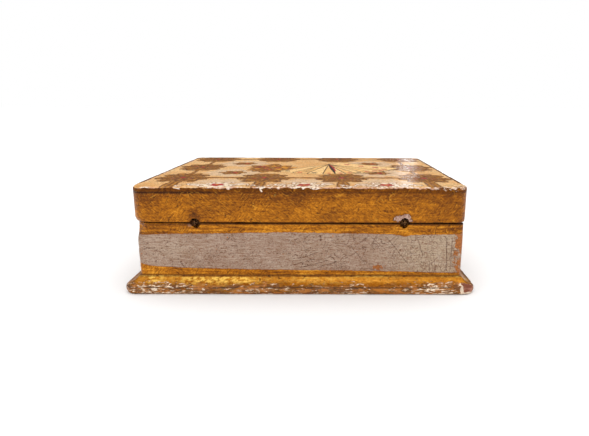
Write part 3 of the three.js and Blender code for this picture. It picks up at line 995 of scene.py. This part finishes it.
def drawFlowers(points, shapes):
    # a row along the hinged side, with white curls about each
    chance = np.random.RandomState(7)
    for x in panel["flowers"]:
        shapes["halo"].append(rosette(points, x, borderFlowers["haloY"], 13.5, 9, 0.1, 0.2))
        shapes["petal"].append(rosette(points, x, borderFlowers["petalY"], 7.6, 9, 0.2, 0.45))
        shapes["red"].append(rosette(points, x, borderFlowers["heartY"], 3.4, 5, 0.22, 0.3))
        shapes["yellow"].append(disc(points, x, borderFlowers["heartY"], 0.9))
        for name, start, end, width in borderFlowers["leaves"]:
            for side in (-1, 1):
                startHere, endHere = (x + start[0] * side, start[1]), (x + end[0] * side, end[1])
                shapes[name].append(leaf(points, startHere, endHere, width))
        for away, y, radius in borderFlowers["curls"]:
            for side in (-1, 1):
                centre = (x + side * (away + chance.uniform(-1, 1)), y + chance.uniform(-1.5, 1.5))
                offset = points[:, :2] - centre
                opening = chance.uniform(-math.pi, math.pi)
                turn = np.cos(np.arctan2(offset[:, 1], offset[:, 0]) - opening)
                ring = np.abs(np.hypot(offset[:, 0], offset[:, 1]) - radius * chance.uniform(0.7, 1.3))
                shapes["curl"].append(0.8 - smooth(turn, -0.2, 0.9) - ring)
    # four more on the cream ground
    for x, y in product(panel["flowers"][::2], panel["groundFlowerRows"]):
        shapes["halo"].append(rosette(points, x, y, 15.0, 8, 0.09))
        shapes["scroll"].append(rosette(points, x, y, 6.6, 6, 0.2))
        shapes["red"].append(rosette(points, x + 1.5, y - 1, 1.8, 5, 0.3))
        shapes["red"].append(disc(points, x - 2.6, y + 1.5, 0.8))
        shapes["yellow"].append(disc(points, x + 1.0, y + 2.8, 0.9))


def drawPosy(points, shapes):
    foliage = [leaf(points, posy["middle"], tip, 4.6) for tip in posy["leafTips"]]
    shapes["scroll"].append(union(*foliage))
    shapes["seam"].append(np.where(shapes["scroll"][-1] > -1, seamOf(foliage), 9.0))
    shapes["vein"] += [leaf(points, posy["middle"], tip, 0.5) for tip in posy["leafTips"]]
    for place, (x, y, radius) in enumerate(posy["flowers"]):
        petals, heart = ("yellow", "red") if place % 3 else ("red", "yellow")
        shapes[petals].append(rosette(points, x, y, radius, 5, 0.2, place))
        shapes[heart].append(disc(points, x, y, radius * 0.4))


def drawCards(points, shapes):
    pivotX, pivotY = fan["pivot"]

    def onCard(turn, reach, aside=0.0):
        # a place that far from the pivot, and that far to the side
        return (pivotX + reach * math.sin(turn) + aside * math.cos(turn),
                pivotY - reach * math.cos(turn) + aside * math.sin(turn))

    for place, (degrees, suit) in enumerate(zip(fan["turns"], fan["suits"])):
        turn = math.radians(degrees)
        shapes["card%d" % place].append(cardShape(points, turn))
        mark = onCard(turn + math.radians(fan["pipLean"]), fan["pipReach"])
        shapes["redPip" if suit < 2 else "blackPip"].append(pip(points, mark, fan["pipSize"], suit, turn))
    for reach in fan["lastPips"]:
        mark = onCard(turn, reach, fan["width"] / 2)
        shapes["redPip"].append(pip(points, mark, fan["lastPipSize"], 0, turn))
    # short ink strokes on the first cards, and a red and a dark stripe down the middle ones
    for step in range(4):
        start, end = (-2 + 1.2 * step, -12 + 5 * step), (4 + step, -8.5 + 5 * step)
        shapes["blackPip"].append(leaf(points, start, end, 0.5))
    shapes["redPip"].append(leaf(points, (pivotX + 0.6, pivotY - 3), (pivotX + 3.6, pivotY - 34), 1.1))
    shapes["blackPip"].append(leaf(points, (pivotX - 0.2, pivotY), (pivotX + 3.4, pivotY - 43), 0.8))


def drawArtwork(points):
    # every field of the picture, by name
    shapes = defaultdict(list)
    for draw in (drawOrnaments, drawFlowers, drawPosy, drawCards):
        draw(points, shapes)
    seam = np.min(shapes.pop("seam"), axis=0)
    return {"seam": seam, **{name: union(*parts) for name, parts in shapes.items()}}


def cornerSquare(a, b):
    # turns a unit square into a quarter disc, so that a plain grid can have round corners
    return a * np.sqrt(1 - b * b / 2), b * np.sqrt(1 - a * a / 2)


def topGrid(half, core, radius, high):
    # a flat grid with rounded corners, its faces, and the points round its edge in order
    x, y = np.meshgrid(*[np.linspace(-h, h, int(2 * h / panel["gap"]) + 1) for h in half])
    index = np.arange(x.size).reshape(x.shape)
    x, y = x.ravel(), y.ravel()
    a, b = [np.clip((np.abs(place) - c) / radius, 0, 1) for place, c in ((x, core[0]), (y, core[1]))]
    inCorner = (a > 0) & (b > 0)
    roundA, roundB = cornerSquare(a, b)
    x = np.where(inCorner, np.sign(x) * (core[0] + radius * roundA), x)
    y = np.where(inCorner, np.sign(y) * (core[1] + radius * roundB), y)
    quads = [index[:-1, :-1], index[:-1, 1:], index[1:, 1:], index[1:, :-1]]
    faces = np.column_stack([corner.ravel() for corner in quads]).tolist()
    loop = np.concatenate([index[0, :-1], index[:-1, -1], index[-1, :0:-1], index[:0:-1, 0]])
    return np.column_stack([x, y, np.full(len(x), high)]), faces, loop


def makeLidTop():
    arris = panel["arris"]
    half = lidHalf - arris
    radius = panel["corner"] - arris
    core = half - radius
    low, high = panelLow[2], panelHigh[2]
    top, faces, loop = topGrid(half, core, radius, high)
    edge = top[loop]
    outward = edge[:, :2] - np.clip(edge[:, :2], -core, core)
    path = (edge[:, :2], outward / np.linalg.norm(outward, axis=1)[:, None])
    worn = smooth(cloud(edge, 4.0, 3, 6.1), 0.0, 0.55)
    worn += 2.2 * bump(np.hypot(edge[:, 0] + lidHalf[0], edge[:, 1] + lidHalf[1]), 0, 7.0)
    rows = []
    for step in range(7):
        angle = step / 6 * math.pi / 2
        row = outerRow(path, arris * math.sin(angle), high - arris * (1 - math.cos(angle)))
        rows.append(row - normalsOf(path, 1 - step / 6) * (0.3 * worn * math.sin(2 * angle))[:, None])
    for z in np.linspace(high - arris, low + 0.12, 5)[1:]:
        rows.append(outerRow(path, arris, z) + normalsOf(path, 0) * (cloud(edge, 30.0, 1) * 0.05)[:, None])
    rows.append(outerRow(path, arris - 0.12, low))
    # the grid's own edge serves as the first row
    verts = np.concatenate([top] + rows[1:])
    count = len(loop)
    starts = [loop] + [len(top) + place * count + np.arange(count) for place in range(len(rows) - 1)]
    for upper, lower in zip(starts[:-1], starts[1:]):
        faces.extend(np.column_stack([upper, lower, np.roll(lower, -1), np.roll(upper, -1)]).tolist())
    slots = [0] * len(faces) + [1]
    faces.append(starts[-1].tolist())
    flat = verts[:, 2] > high - 0.01
    verts[:, 2] += np.where(flat, cloud(verts, 30.0, 2) * panel["waviness"] - 0.05, 0)
    verts = wearCorners(verts, lidHalf, [(-1, -1, 0.9)], low - 1, high - 0.3)
    fields = drawArtwork(verts)
    raised = smooth(fields["scroll"], -0.3, 0.4) * 0.09 + smooth(fields["petal"], -0.3, 0.4) * 0.05
    pits = smooth(cloud(verts, 1.6, 2, 4.4), 0.45, 0.7) * 0.16
    pits *= smooth(-verts[:, 1], lidHalf[1] - 14, lidHalf[1])
    verts[:, 2] += np.where(flat, raised - 0.1 - pits, 0)
    piece = finishMesh("lid_top", verts * mm, faces, slots, sharp=50)
    points = pointsOf(piece)
    for name, values in drawArtwork(points).items():
        writeField(piece, name, values)
    x, y, z = points.T
    onTop = z > high - arris
    fromEdge = [half - np.abs(place) for half, place in ((lidHalf[0], x), (lidHalf[1], y))]
    rim = np.minimum(*fromEdge)
    cornerAway = np.hypot(*[np.maximum(panel["corner"] - away, 0) for away in fromEdge])
    rim = np.where(cornerAway > 0, np.minimum(rim, panel["corner"] - cornerAway), rim)
    rim = rim - panel["border"] * smooth(y, 6 - lidHalf[1], 16 - lidHalf[1]) * onTop
    writeField(piece, "rim", np.where(onTop, rim, 0) + z - high)
    hinged = smooth(-y, lidHalf[1] - 8, lidHalf[1] - 5)
    wear = 0.5 * smooth(cloud(points, 14.0, 2, 7.2), 0, 0.6) * (1 - hinged)
    writeField(piece, "edgeWear", 0.35 + wear + hinged * bumps(x, panel["edgeWear"]))
    pitted = 0.5 + 0.5 * cloud(points, 12.0, 2, 3.9) + bumps(x, panel["pitting"])
    writeField(piece, "pitted", smooth(-y, lidHalf[1] - 16, lidHalf[1] - 1) * pitted)
    writeField(piece, "edgeShade", 0.44 + 0.1 * hinged * (smooth(-x, 30, 58) + bump(x, 76, 8)))
    return piece


def makePaintedMaterial():
    material, shader, where = newMaterial("paintedTop", coatRoughness=0.12, specular=0.22)
    broad = noise(where, 22.0, 3.0)
    mottle = noise(where, 4.0, 5.0, 0.65)
    brush = noise(where, 1.6, 5.0, 0.68, 0.6)
    strokes = noise(stretched(where, 0.45, 1.0, 1.0), 1.3, 5.0, 0.7)
    jitter = (strokes - 0.5) * 2.0
    ground = colourRamp(broad * 0.5 + mottle * 0.5, (0.34, panel["creamWarm"]), (0.48, panel["cream"]),
                        (0.62, panel["creamPale"]))
    gold = colourRamp(brush, (0.36, panel["scrollDark"]), (0.5, panel["scroll"]),
                      (0.66, panel["scrollLight"]))
    halo = fieldOf(where, "halo") + (mottle - 0.5) * 7.0
    colour = blend(ramp(halo, -2.5, 2.5, 0.0, 0.85), ground, panel["halo"])

    def layer(base, name, fill, line, lineWidth, ragged=1.0, soft=0.1):
        # fills one field with colour and draws its outline
        field = fieldOf(where, name) + jitter * ragged
        inside = ramp(field, -soft, soft)
        return blend(near(field, 0.0, lineWidth * 0.5, lineWidth), blend(inside, base, fill), line), inside

    colour, _ = layer(colour, "goldLine", gold, panel["scrollDark"], 0.4, 1.2, 0.3)
    colour, inScroll = layer(colour, "scroll", gold, panel["scrollDark"], 0.45, 2.2, 0.6)
    # light along the leaves' edges, and dark between one leaf and the next
    scroll = fieldOf(where, "scroll")
    colour = blend(near(scroll + jitter, 1.2, 0.3, 0.7, 0.5), colour, panel["scrollLight"])
    gaps = ramp(fieldOf(where, "seam") + jitter * 0.5, 0.15, 0.75, 0.75, 0.0) * inScroll
    colour = blend(gaps, colour, panel["scrollDark"])
    colour = blend(ramp(scroll + jitter * 3.0, 1.4, 3.2, 0.0, 0.4), colour, panel["scrollDark"])
    colour = blend(ramp(fieldOf(where, "vein") + jitter, -0.1, 0.2, 0.0, 0.5), colour, panel["scrollLight"])
    colour, _ = layer(colour, "petal", panel["petal"], panel["scroll"], 0.3, 0.8)
    colour, _ = layer(colour, "curl", panel["white"], panel["scroll"], 0.35, 1.0)
    colour, inRed = layer(colour, "red", panel["red"], panel["scrollDark"], 0.2, 0.7)
    colour, _ = layer(colour, "yellow", panel["yellow"], panel["scroll"], 0.2, 0.5)
    for place in range(len(fan["turns"])):
        face = panel["card"] if place % 2 else panel["cardPale"]
        colour, _ = layer(colour, "card%d" % place, face, panel["ink"], 0.42, 0.1)
    for name, ink in (("redPip", panel["red"]), ("blackPip", panel["ink"])):
        colour, _ = layer(colour, name, ink, ink, 0.1, 0.2)
    # flecks where the paint has worn or picked up dirt
    worn = fieldOf(where, "pitted") * 0.13
    flecks = noise(stretched(where, 1.0, 0.7, 1.0), 1.5, 4.0, 0.7)
    dark = ramp(flecks + worn, 0.63, 0.66)
    colour = blend(dark * 0.85, colour, panel["scroll"])
    light = ramp(1.0 - (flecks - worn), 0.675, 0.7) * (0.8 - inRed * 0.7)
    colour = blend(light, colour, panel["white"])
    net = placeGroup(crackNet, vector=where, size=panel["netSize"], width=0.16, bend=1.4)["Crack"]
    colour = blend(net * ramp(broad, 0.4, 0.6, 0.0, 0.4), colour, panel["scrollDark"])
    grit = specksOn(where, panel)
    colour = blend(grit * 0.75, colour, panel["scrollDark"])
    # the paint gives way to dark gold over the edge, with bare gesso in between
    wear = fieldOf(where, "edgeWear")
    tear = (noise(stretched(where, 0.8, 0.8, 1.6), 1.9, 5.0, 0.7) - 0.5) * 4.4 * wear
    torn = fieldOf(where, "rim") + tear
    paint = ramp(torn, -0.6, -0.4)
    lining = near(torn, 0.0, 0.2, 0.75) * ramp(wear, 0.4, 1.0, 0.1, 1.0)
    colour = blend(lining, colour, blend(ramp(mottle, 0.45, 0.6), panel["bare"], panel["white"]))
    gilt = placeGroup(gilding, vector=where, shade=fieldOf(where, "edgeShade"))
    colour = blend(paint, gilt["Color"], colour)
    for start, end, width in panel["scratches"]:
        colour = blend(crackOn(where, -lidHalf[1], start, end, width, 0.5), colour, panel["white"])
    # varnish is left in patches, so a light behind the box glints on it
    dimples = noise(where, 0.9, 3.0, 0.65)
    glaze = ramp(dimples, 0.46, 0.54) * ramp(mottle, 0.4, 0.56, 0.0, 0.8)
    feed(shader, "Coat Weight", glaze * paint)
    feed(shader, "Coat Normal", bumped(noise(where, 2.0, 3.0, 0.6), 0.16))
    metal = (1.0 - paint) * 0.5 + inScroll * paint * 0.2
    relief = mottle * 0.5 + brush * 0.3 - net * 0.6 + paint * 0.8 - dark * 0.4 + dimples * 0.8
    setSurface(shader, colour, ramp(mottle, 0.3, 0.7, 0.5, 0.64), metal, relief, 0.16)
    return material


lidTop = makeLidTop()
dress(lidTop, "lid", ["lid_top_panel"], [makePaintedMaterial(), bareWood])


# The plinth: a board with a hollow slope and a rounded, badly worn nose.
plinth = {
    "spacing": 0.8, "corner": 6.4, "slopeReach": 5.0, "slopeBottom": 4.4, "sag": 0.5,
    "noseHeight": 2.5, "footInset": 1.3, "flake": 0.3, "dent": 0.35,
    # the broken corner: how deep, how far along the side, and between which heights
    "chipDepth": 0.85, "chipReach": 7.2, "chipLow": 0.9, "chipHigh": 5.6,
    "cream": tone(214, 166, 120), "white": tone(246, 224, 198), "brown": tone(118, 70, 32),
    "olive": tone(134, 104, 60), "orange": tone(200, 126, 54), "bole": tone(132, 62, 40),
    "boleLight": tone(176, 112, 90), "dirtAndShade": tone(64, 34, 12), "paintedHighlight": tone(255, 204, 92),
    # along X on the hinged side: how badly the nose has flaked, and where a highlight is painted on the
    # slope
    "flaking": [(-70, 26, 1.1), (-20, 16, 0.85), (8, 12, 0.65), (27, 6, 1.15), (66, 18, 1.3)],
    "highlightAmount": [(-72, 4, 1.2), (-35, 14, 1.35), (-52, 9, 0.9), (10, 18, 0.45), (48, 14, 0.15)],
}


def plinthProfile():
    # how far out from the widest place, height, and how far the surface faces up
    reach, nose, slope = baseHalf[0] - bodyHalf[0], plinth["noseHeight"], plinth["slopeBottom"]
    for step in range(9):
        angle = step / 8 * math.pi / 2
        yield plinth["footInset"] * (math.sin(angle) - 1), nose * (1 - math.cos(angle)), step / 8 - 1
    for step in range(1, 7):
        angle = step / 6 * math.pi / 2
        out = (plinth["slopeReach"] - reach) * (1 - math.cos(angle))
        yield out, nose + (slope - nose) * math.sin(angle), 0.5 * step / 6
    for step in range(1, 13):
        t = step / 12
        hollow = plinth["sag"] * math.sin(math.pi * t)
        out = plinth["slopeReach"] * (1 - t) - hollow * 0.5 - reach
        yield out, slope + (baseHigh[2] - slope) * t - hollow, 0.5


def breakCorner(piece):
    # cuts the chip at the back right corner by one slanting plane, and writes where it is
    points = pointsOf(piece)
    reach, low, high = plinth["chipReach"], plinth["chipLow"], plinth["chipHigh"]
    offset = points - [baseHalf[0], -baseHalf[1], plinth["noseHeight"]]
    z = points[:, 2]
    cut = np.array([0.13, -1.0, 0.1])
    cut /= np.linalg.norm(cut)
    depth = offset @ cut + plinth["chipDepth"] + cloud(points, 1.2, 2) * 0.12
    inChip = (offset[:, 0] > -reach) & (z > low) & (z < high) & (depth > 0) & (offset[:, 1] < 4)
    points = points - np.where(inChip, depth, 0)[:, None] * cut
    piece.data.vertices.foreach_set("co", (points * mm).ravel())
    piece.data.update()
    away = np.maximum.reduce([-reach - offset[:, 0], low - points[:, 2], points[:, 2] - high + 0.2])
    away = np.where(offset[:, 1] < 3.5, away, 9) + cloud(points, 1.8, 3, 6.6) * 1.3 + 0.3
    writeField(piece, "chip", -np.clip(away, -9, 9))
    return points


def makePlinth():
    path = wallPath(baseHalf, plinth["corner"], plinth["spacing"])
    rows = []
    for out, z, rise in plinthProfile():
        row = outerRow(path, out, z)
        onNose = bump(z, plinth["noseHeight"], 2.4)
        flakes = smooth(cloud(row * [0.6, 0.6, 1.3], 2.6, 3, 7.7), 0.05, 0.3) * plinth["flake"]
        dents = smooth(cloud(row * [0.5, 0.5, 1.0], 7.0, 2, 1.9), 0.2, 0.7) * plinth["dent"]
        lost = (flakes + dents) * onNose * min(z / 0.6, 1)
        rows.append(row - normalsOf(path, rise) * lost[:, None])
    slots = [0] * (len(rows) - 1) + [1]
    rows.append(innerRow(path, bodyHalf - wallThickness, baseHigh[2]))
    caps = [(0, 1, True), (len(rows) - 1, 1, False)]
    piece = skin("plinth", rows, slots, closed=False, caps=caps)
    points = breakCorner(piece)
    hinged = points[:, 1] < -bodyHalf[1] - 0.5
    # wear and a painted highlight on the other three sides
    elsewhere = {
        "flaking": 0.75 * smooth(cloud(points, 18.0, 2, 4.1), -0.1, 0.5),
        "highlightAmount": 0.8 * smooth(cloud(points, 20.0, 2, 8.3), 0.1, 0.6),
    }
    for name, values in elsewhere.items():
        writeField(piece, name, np.where(hinged, bumps(points[:, 0], plinth[name]), values))
    return piece


def makePlinthMaterial():
    material, shader, where = newMaterial("wornPlinth", coat=0.08, coatRoughness=0.25, specular=0.3)
    height = axisOf(where, "Z")
    edge = plinth["slopeBottom"]
    slope = ramp(height, edge - 0.8, edge + 0.8)
    # painted light: the slope, which faces up, is lightened and the nose darkened, as if lit from above
    gold = placeGroup(gilding, vector=where, shade=ramp(slope, 0.0, 1.0, 0.2, -0.24), hatching=0.2)
    # a painted highlight in bright patches on the slope
    glow = noise(stretched(where, 0.5, 0.5, 1.0), 1.2, 3.0, 0.7)
    paintedHighlight = maths("MULTIPLY", ramp(glow, 0.4, 0.62) * fieldOf(where, "highlightAmount"), slope, clamp=True)
    colour = blend(paintedHighlight, gold["Color"], plinth["paintedHighlight"])
    # the nose: dark glaze, bare gesso and bole in long flakes
    flaking = fieldOf(where, "flaking")
    long = stretched(where, 0.4, 0.4, 1.15)
    tatter = noise(long, 1.5, 6.0, 0.7, 0.5)
    second = noise(stretched(where, 0.35, 0.35, 1.1), 2.2, 5.0, 0.68, 0.8)
    onNose = ramp(height + (tatter - 0.5) * 7.0 - flaking * 0.9, edge - 0.8, edge + 0.1, 1.0, 0.0)
    low = 0.5 - flaking * 0.06
    dark = ramp(second, low, low + 0.08) * onNose
    colour = blend(dark * 0.9, colour, plinth["brown"])
    colour = blend(ramp(tatter, 0.5, 0.56, 0.0, 0.55) * onNose, colour, plinth["olive"])
    warm = ramp(noise(long, 2.6, 4.0, 0.6), 0.47, 0.57, 0.0, 0.75)
    colour = blend(warm * onNose, colour, plinth["orange"])
    least = 0.61 - flaking * 0.1
    grain = noise(stretched(where, 0.28, 0.28, 1.1), 0.8, 4.0, 0.7, 0.3)
    bare = ramp(grain, least, least + 0.04, 0.0, 0.85) * onNose
    colour = blend(bare, colour, plinth["cream"])
    colour = blend(ramp(grain, least + 0.055, least + 0.085) * onNose, colour, plinth["white"])
    # a dark broken line of painted shade in the crease where slope and nose meet, thin dark streaks on the
    # nose, and painted shade in the groove below the walls
    crease = near(height + (second - 0.5) * 1.6, edge - 0.7, 0.12, 0.4) * ramp(tatter, 0.36, 0.5)
    thin = ramp(noise(stretched(where, 0.22, 0.22, 1.3), 0.8, 4.0, 0.6), 0.58, 0.64) * onNose
    colour = blend(maths("MAXIMUM", crease, thin) * 0.75, colour, plinth["dirtAndShade"])
    groove = ramp(height, baseHigh[2] - 0.8, baseHigh[2] - 0.3) * ramp(glow, 0.3, 0.6, 0.9, 0.5)
    colour = blend(groove, colour, plinth["dirtAndShade"])
    # painted shade on the underside of the nose, darkest next to the floor
    colour = blend(ramp(height, 0.1, 0.9, 0.5, 0.0), colour, plinth["brown"])
    # the broken corner: torn gesso round its edge, and wood stained by the bole inside
    broken = fieldOf(where, "chip")
    chip = ramp(broken, -0.1, 0.15)
    colour = blend(near(broken, -0.5, 0.35, 0.7, 0.9), colour, plinth["white"])
    wood = placeGroup(oldWood, vector=where)["Color"]
    fresh = blend(ramp(second, 0.46, 0.6), plinth["bole"], plinth["boleLight"])
    colour = blend(chip, colour, blend(0.75, wood, fresh))
    covered = maths("MAXIMUM", maths("MAXIMUM", dark, bare), chip)
    leafLeft = maths("SUBTRACT", 1.0, covered, clamp=True)
    relief = gold["Height"] + (bare - dark) * 0.7 + tatter * 0.6
    setSurface(shader, colour, ramp(leafLeft, 0.0, 1.0, 0.55, 0.32), leafLeft * 0.6, relief, 0.22)
    return material


plinthPiece = makePlinth()
dress(plinthPiece, "box", ["base_board"], [makePlinthMaterial(), bareWood])


# Split pins: one wire bent into a ring, with two legs through the wall, bent over inside.
pins = {
    "wire": 0.4, "ring": 1.25, "legGap": 0.1, "bend": 0.6, "clinch": 4.2, "clear": 0.3, "sides": 12,
    "brown": tone(84, 56, 34), "bright": tone(176, 128, 72), "dark": tone(38, 24, 16),
}


def pinLine(legLength, slant):
    # the middle line of the wire: one leg, the ring and the other leg. slant is how far the inside
    # face, along which the ends are bent, leans from square to the legs
    leg = pins["wire"] + pins["legGap"] / 2

    def limb(side):
        turn = math.pi / 2 + side * slant
        start = legLength - side * math.tan(slant) * leg - pins["bend"] * math.tan(turn / 2)
        line = []
        for step in range(9):
            angle = step / 8 * turn
            across = leg + pins["bend"] * (1 - math.cos(angle))
            line.append((side * across, start + pins["bend"] * math.sin(angle)))
        end = line[-1]
        for share in (0.5, 1.0):
            reach = pins["clinch"] * share
            line.append((end[0] + side * math.sin(turn) * reach, end[1] + math.cos(turn) * reach))
        return line

    meet = math.asin(leg / pins["ring"])
    ring = []
    for step in range(41):
        angle = math.pi / 2 - meet - step / 40 * 2 * (math.pi - meet)
        ring.append((pins["ring"] * math.cos(angle), pins["ring"] * math.sin(angle)))
    return np.array(limb(1)[::-1] + ring + limb(-1))


def makePin(name, node, body, legLength, slant, ringTurn, tilt, ringAway, x):
    # ringTurn turns the ring about the legs, tilt leans them, and ringAway moves the ring off the axis
    line = pinLine(legLength, slant)
    along = np.gradient(line, axis=0)
    along /= np.linalg.norm(along, axis=1)[:, None]
    angle = np.arange(pins["sides"]) / pins["sides"] * 2 * math.pi
    out, up = pins["wire"] * np.cos(angle), pins["wire"] * np.sin(angle)
    turn = np.array(Euler((tilt, 0, 0)).to_matrix()) @ np.array(Euler((0, ringTurn, 0)).to_matrix())
    rows = []
    for (px, py), (ax, ay) in zip(line, along):
        row = np.column_stack([px - ay * out, py + ax * out + ringAway, up])
        rows.append(row @ turn.T + [x, hingeAxis[1], hingeAxis[2]])
    caps = [(0, 0, True), (len(rows) - 1, 0, False)]
    piece = skin(name, rows, [0] * len(rows), closed=False, caps=caps)
    dress(piece, body, [node], [agedWire])


def makeWireMaterial():
    material, shader, where = newMaterial("agedWire")
    patina = noise(where, 0.9, 4.0, 0.6)
    colour = colourRamp(patina, (0.35, pins["dark"]), (0.5, pins["brown"]), (0.7, pins["bright"]))
    setSurface(shader, colour, ramp(patina, 0.3, 0.7, 0.6, 0.35), 0.85, patina, 0.05)
    return material


agedWire = makeWireMaterial()
bodyReach = (wallThickness + pins["clear"] + pins["wire"]) * math.sqrt(2)
lidFace = -lidHalf[1] + wallThickness + pins["clear"] + pins["wire"]
lidReach = (lidFace - hingeAxis[1]) * math.sqrt(2) - pins["ring"]
for side, x in zip(("left", "right"), hingePlaces):
    makePin("body_wire_" + side, "body_hinge_pin_" + side, "box", bodyReach, math.pi / 4,
            -math.pi / 2, -math.pi / 4, 0.0, x)
    makePin("lid_wire_" + side, "lid_hinge_pin_" + side, "lid", lidReach, 0.0,
            0.0, math.pi / 4, pins["ring"], x)


# Studio: a pale floor, soft lights and the photograph's viewpoint.
studio = {
    "floor": tone(244, 244, 244), "floorSize": 30.0, "seen": 1.0, "diffuse": 1.12,
    # what shiny surfaces see: bright on the viewer's side, dim behind the box
    "nearSide": 0.85, "farSide": 0.12,
    "lens": 29.2, "place": (0.0112, -0.2886, 0.0902), "pitch": 13.3, "heading": 0.29, "roll": 0.23,
    "shift": -0.0526,
    # name, place, aim, width and height of the lamp, power
    "lights": [
        ("topSoft", (0.05, 0.1, 0.9), (0, 0, 0), (0.7, 0.7), 2.2),
        ("frontSoft", (-0.4, -1.1, 0.8), (0, 0, 0.03), (0.7, 0.7), 1.0),
        ("glare", (0.273, 1.2, 0.2), (0.07, 0.0, 0.0524), (0.05, 0.14), 0.12),
    ],
}


def makeFloor():
    bpy.ops.mesh.primitive_plane_add(size=studio["floorSize"], location=(0, 0, 0))
    floor = bpy.context.object
    floor.name = "floor"
    material = bpy.data.materials.new("paleFloor")
    material.use_nodes = True
    shader = material.node_tree.nodes["Principled BSDF"]
    feed(shader, "Base Color", studio["floor"])
    feed(shader, "Roughness", 1.0)
    feed(shader, "Specular IOR Level", 0.0)
    floor.data.materials.append(material)


def makeWorld():
    world = bpy.data.worlds.new("studio")
    bpy.context.scene.world = world
    world.use_nodes = True
    tree = world.node_tree
    way = addNode("ShaderNodeTexCoord", {}, "Generated", tree)
    glossy = ramp(axisOf(way, "Y"), -0.5, 0.7, studio["nearSide"], studio["farSide"])
    isGlossy = addNode("ShaderNodeLightPath", {}, "Is Glossy Ray", tree)
    isCamera = addNode("ShaderNodeLightPath", {}, "Is Camera Ray", tree)
    strength = between(isCamera, between(isGlossy, studio["diffuse"], glossy), studio["seen"])
    feed(tree.nodes["Background"], "Strength", strength)
    feed(tree.nodes["Background"], "Color", (1, 1, 1, 1))


def makeLights():
    for name, place, aim, size, power in studio["lights"]:
        lamp = bpy.data.lights.new(name, "AREA")
        lamp.shape = "RECTANGLE"
        lamp.size, lamp.size_y = size
        lamp.energy = power
        holder = bpy.data.objects.new(name, lamp)
        bpy.context.scene.collection.objects.link(holder)
        holder.location = place
        x, y, z = np.array(aim) - np.array(place)
        holder.rotation_euler = (math.atan2(math.hypot(x, y), -z), 0, math.atan2(-x, y))


def makeCamera():
    lens = bpy.data.cameras.new("photo")
    camera = bpy.data.objects.new("photo", lens)
    bpy.context.scene.collection.objects.link(camera)
    lens.sensor_width = 36.0
    lens.lens = studio["lens"]
    lens.shift_x = studio["shift"]
    lens.clip_start = 0.01
    camera.location = studio["place"]
    look = Euler((math.radians(90 - studio["pitch"]), 0, -math.radians(studio["heading"])))
    spin = Euler((0, 0, math.radians(studio["roll"])))
    camera.rotation_euler = (look.to_matrix() @ spin.to_matrix()).to_euler()
    bpy.context.scene.camera = camera


makeFloor()
makeWorld()
makeLights()
makeCamera()
bpy.context.scene.view_settings.view_transform = "Standard"
print("studio ready")
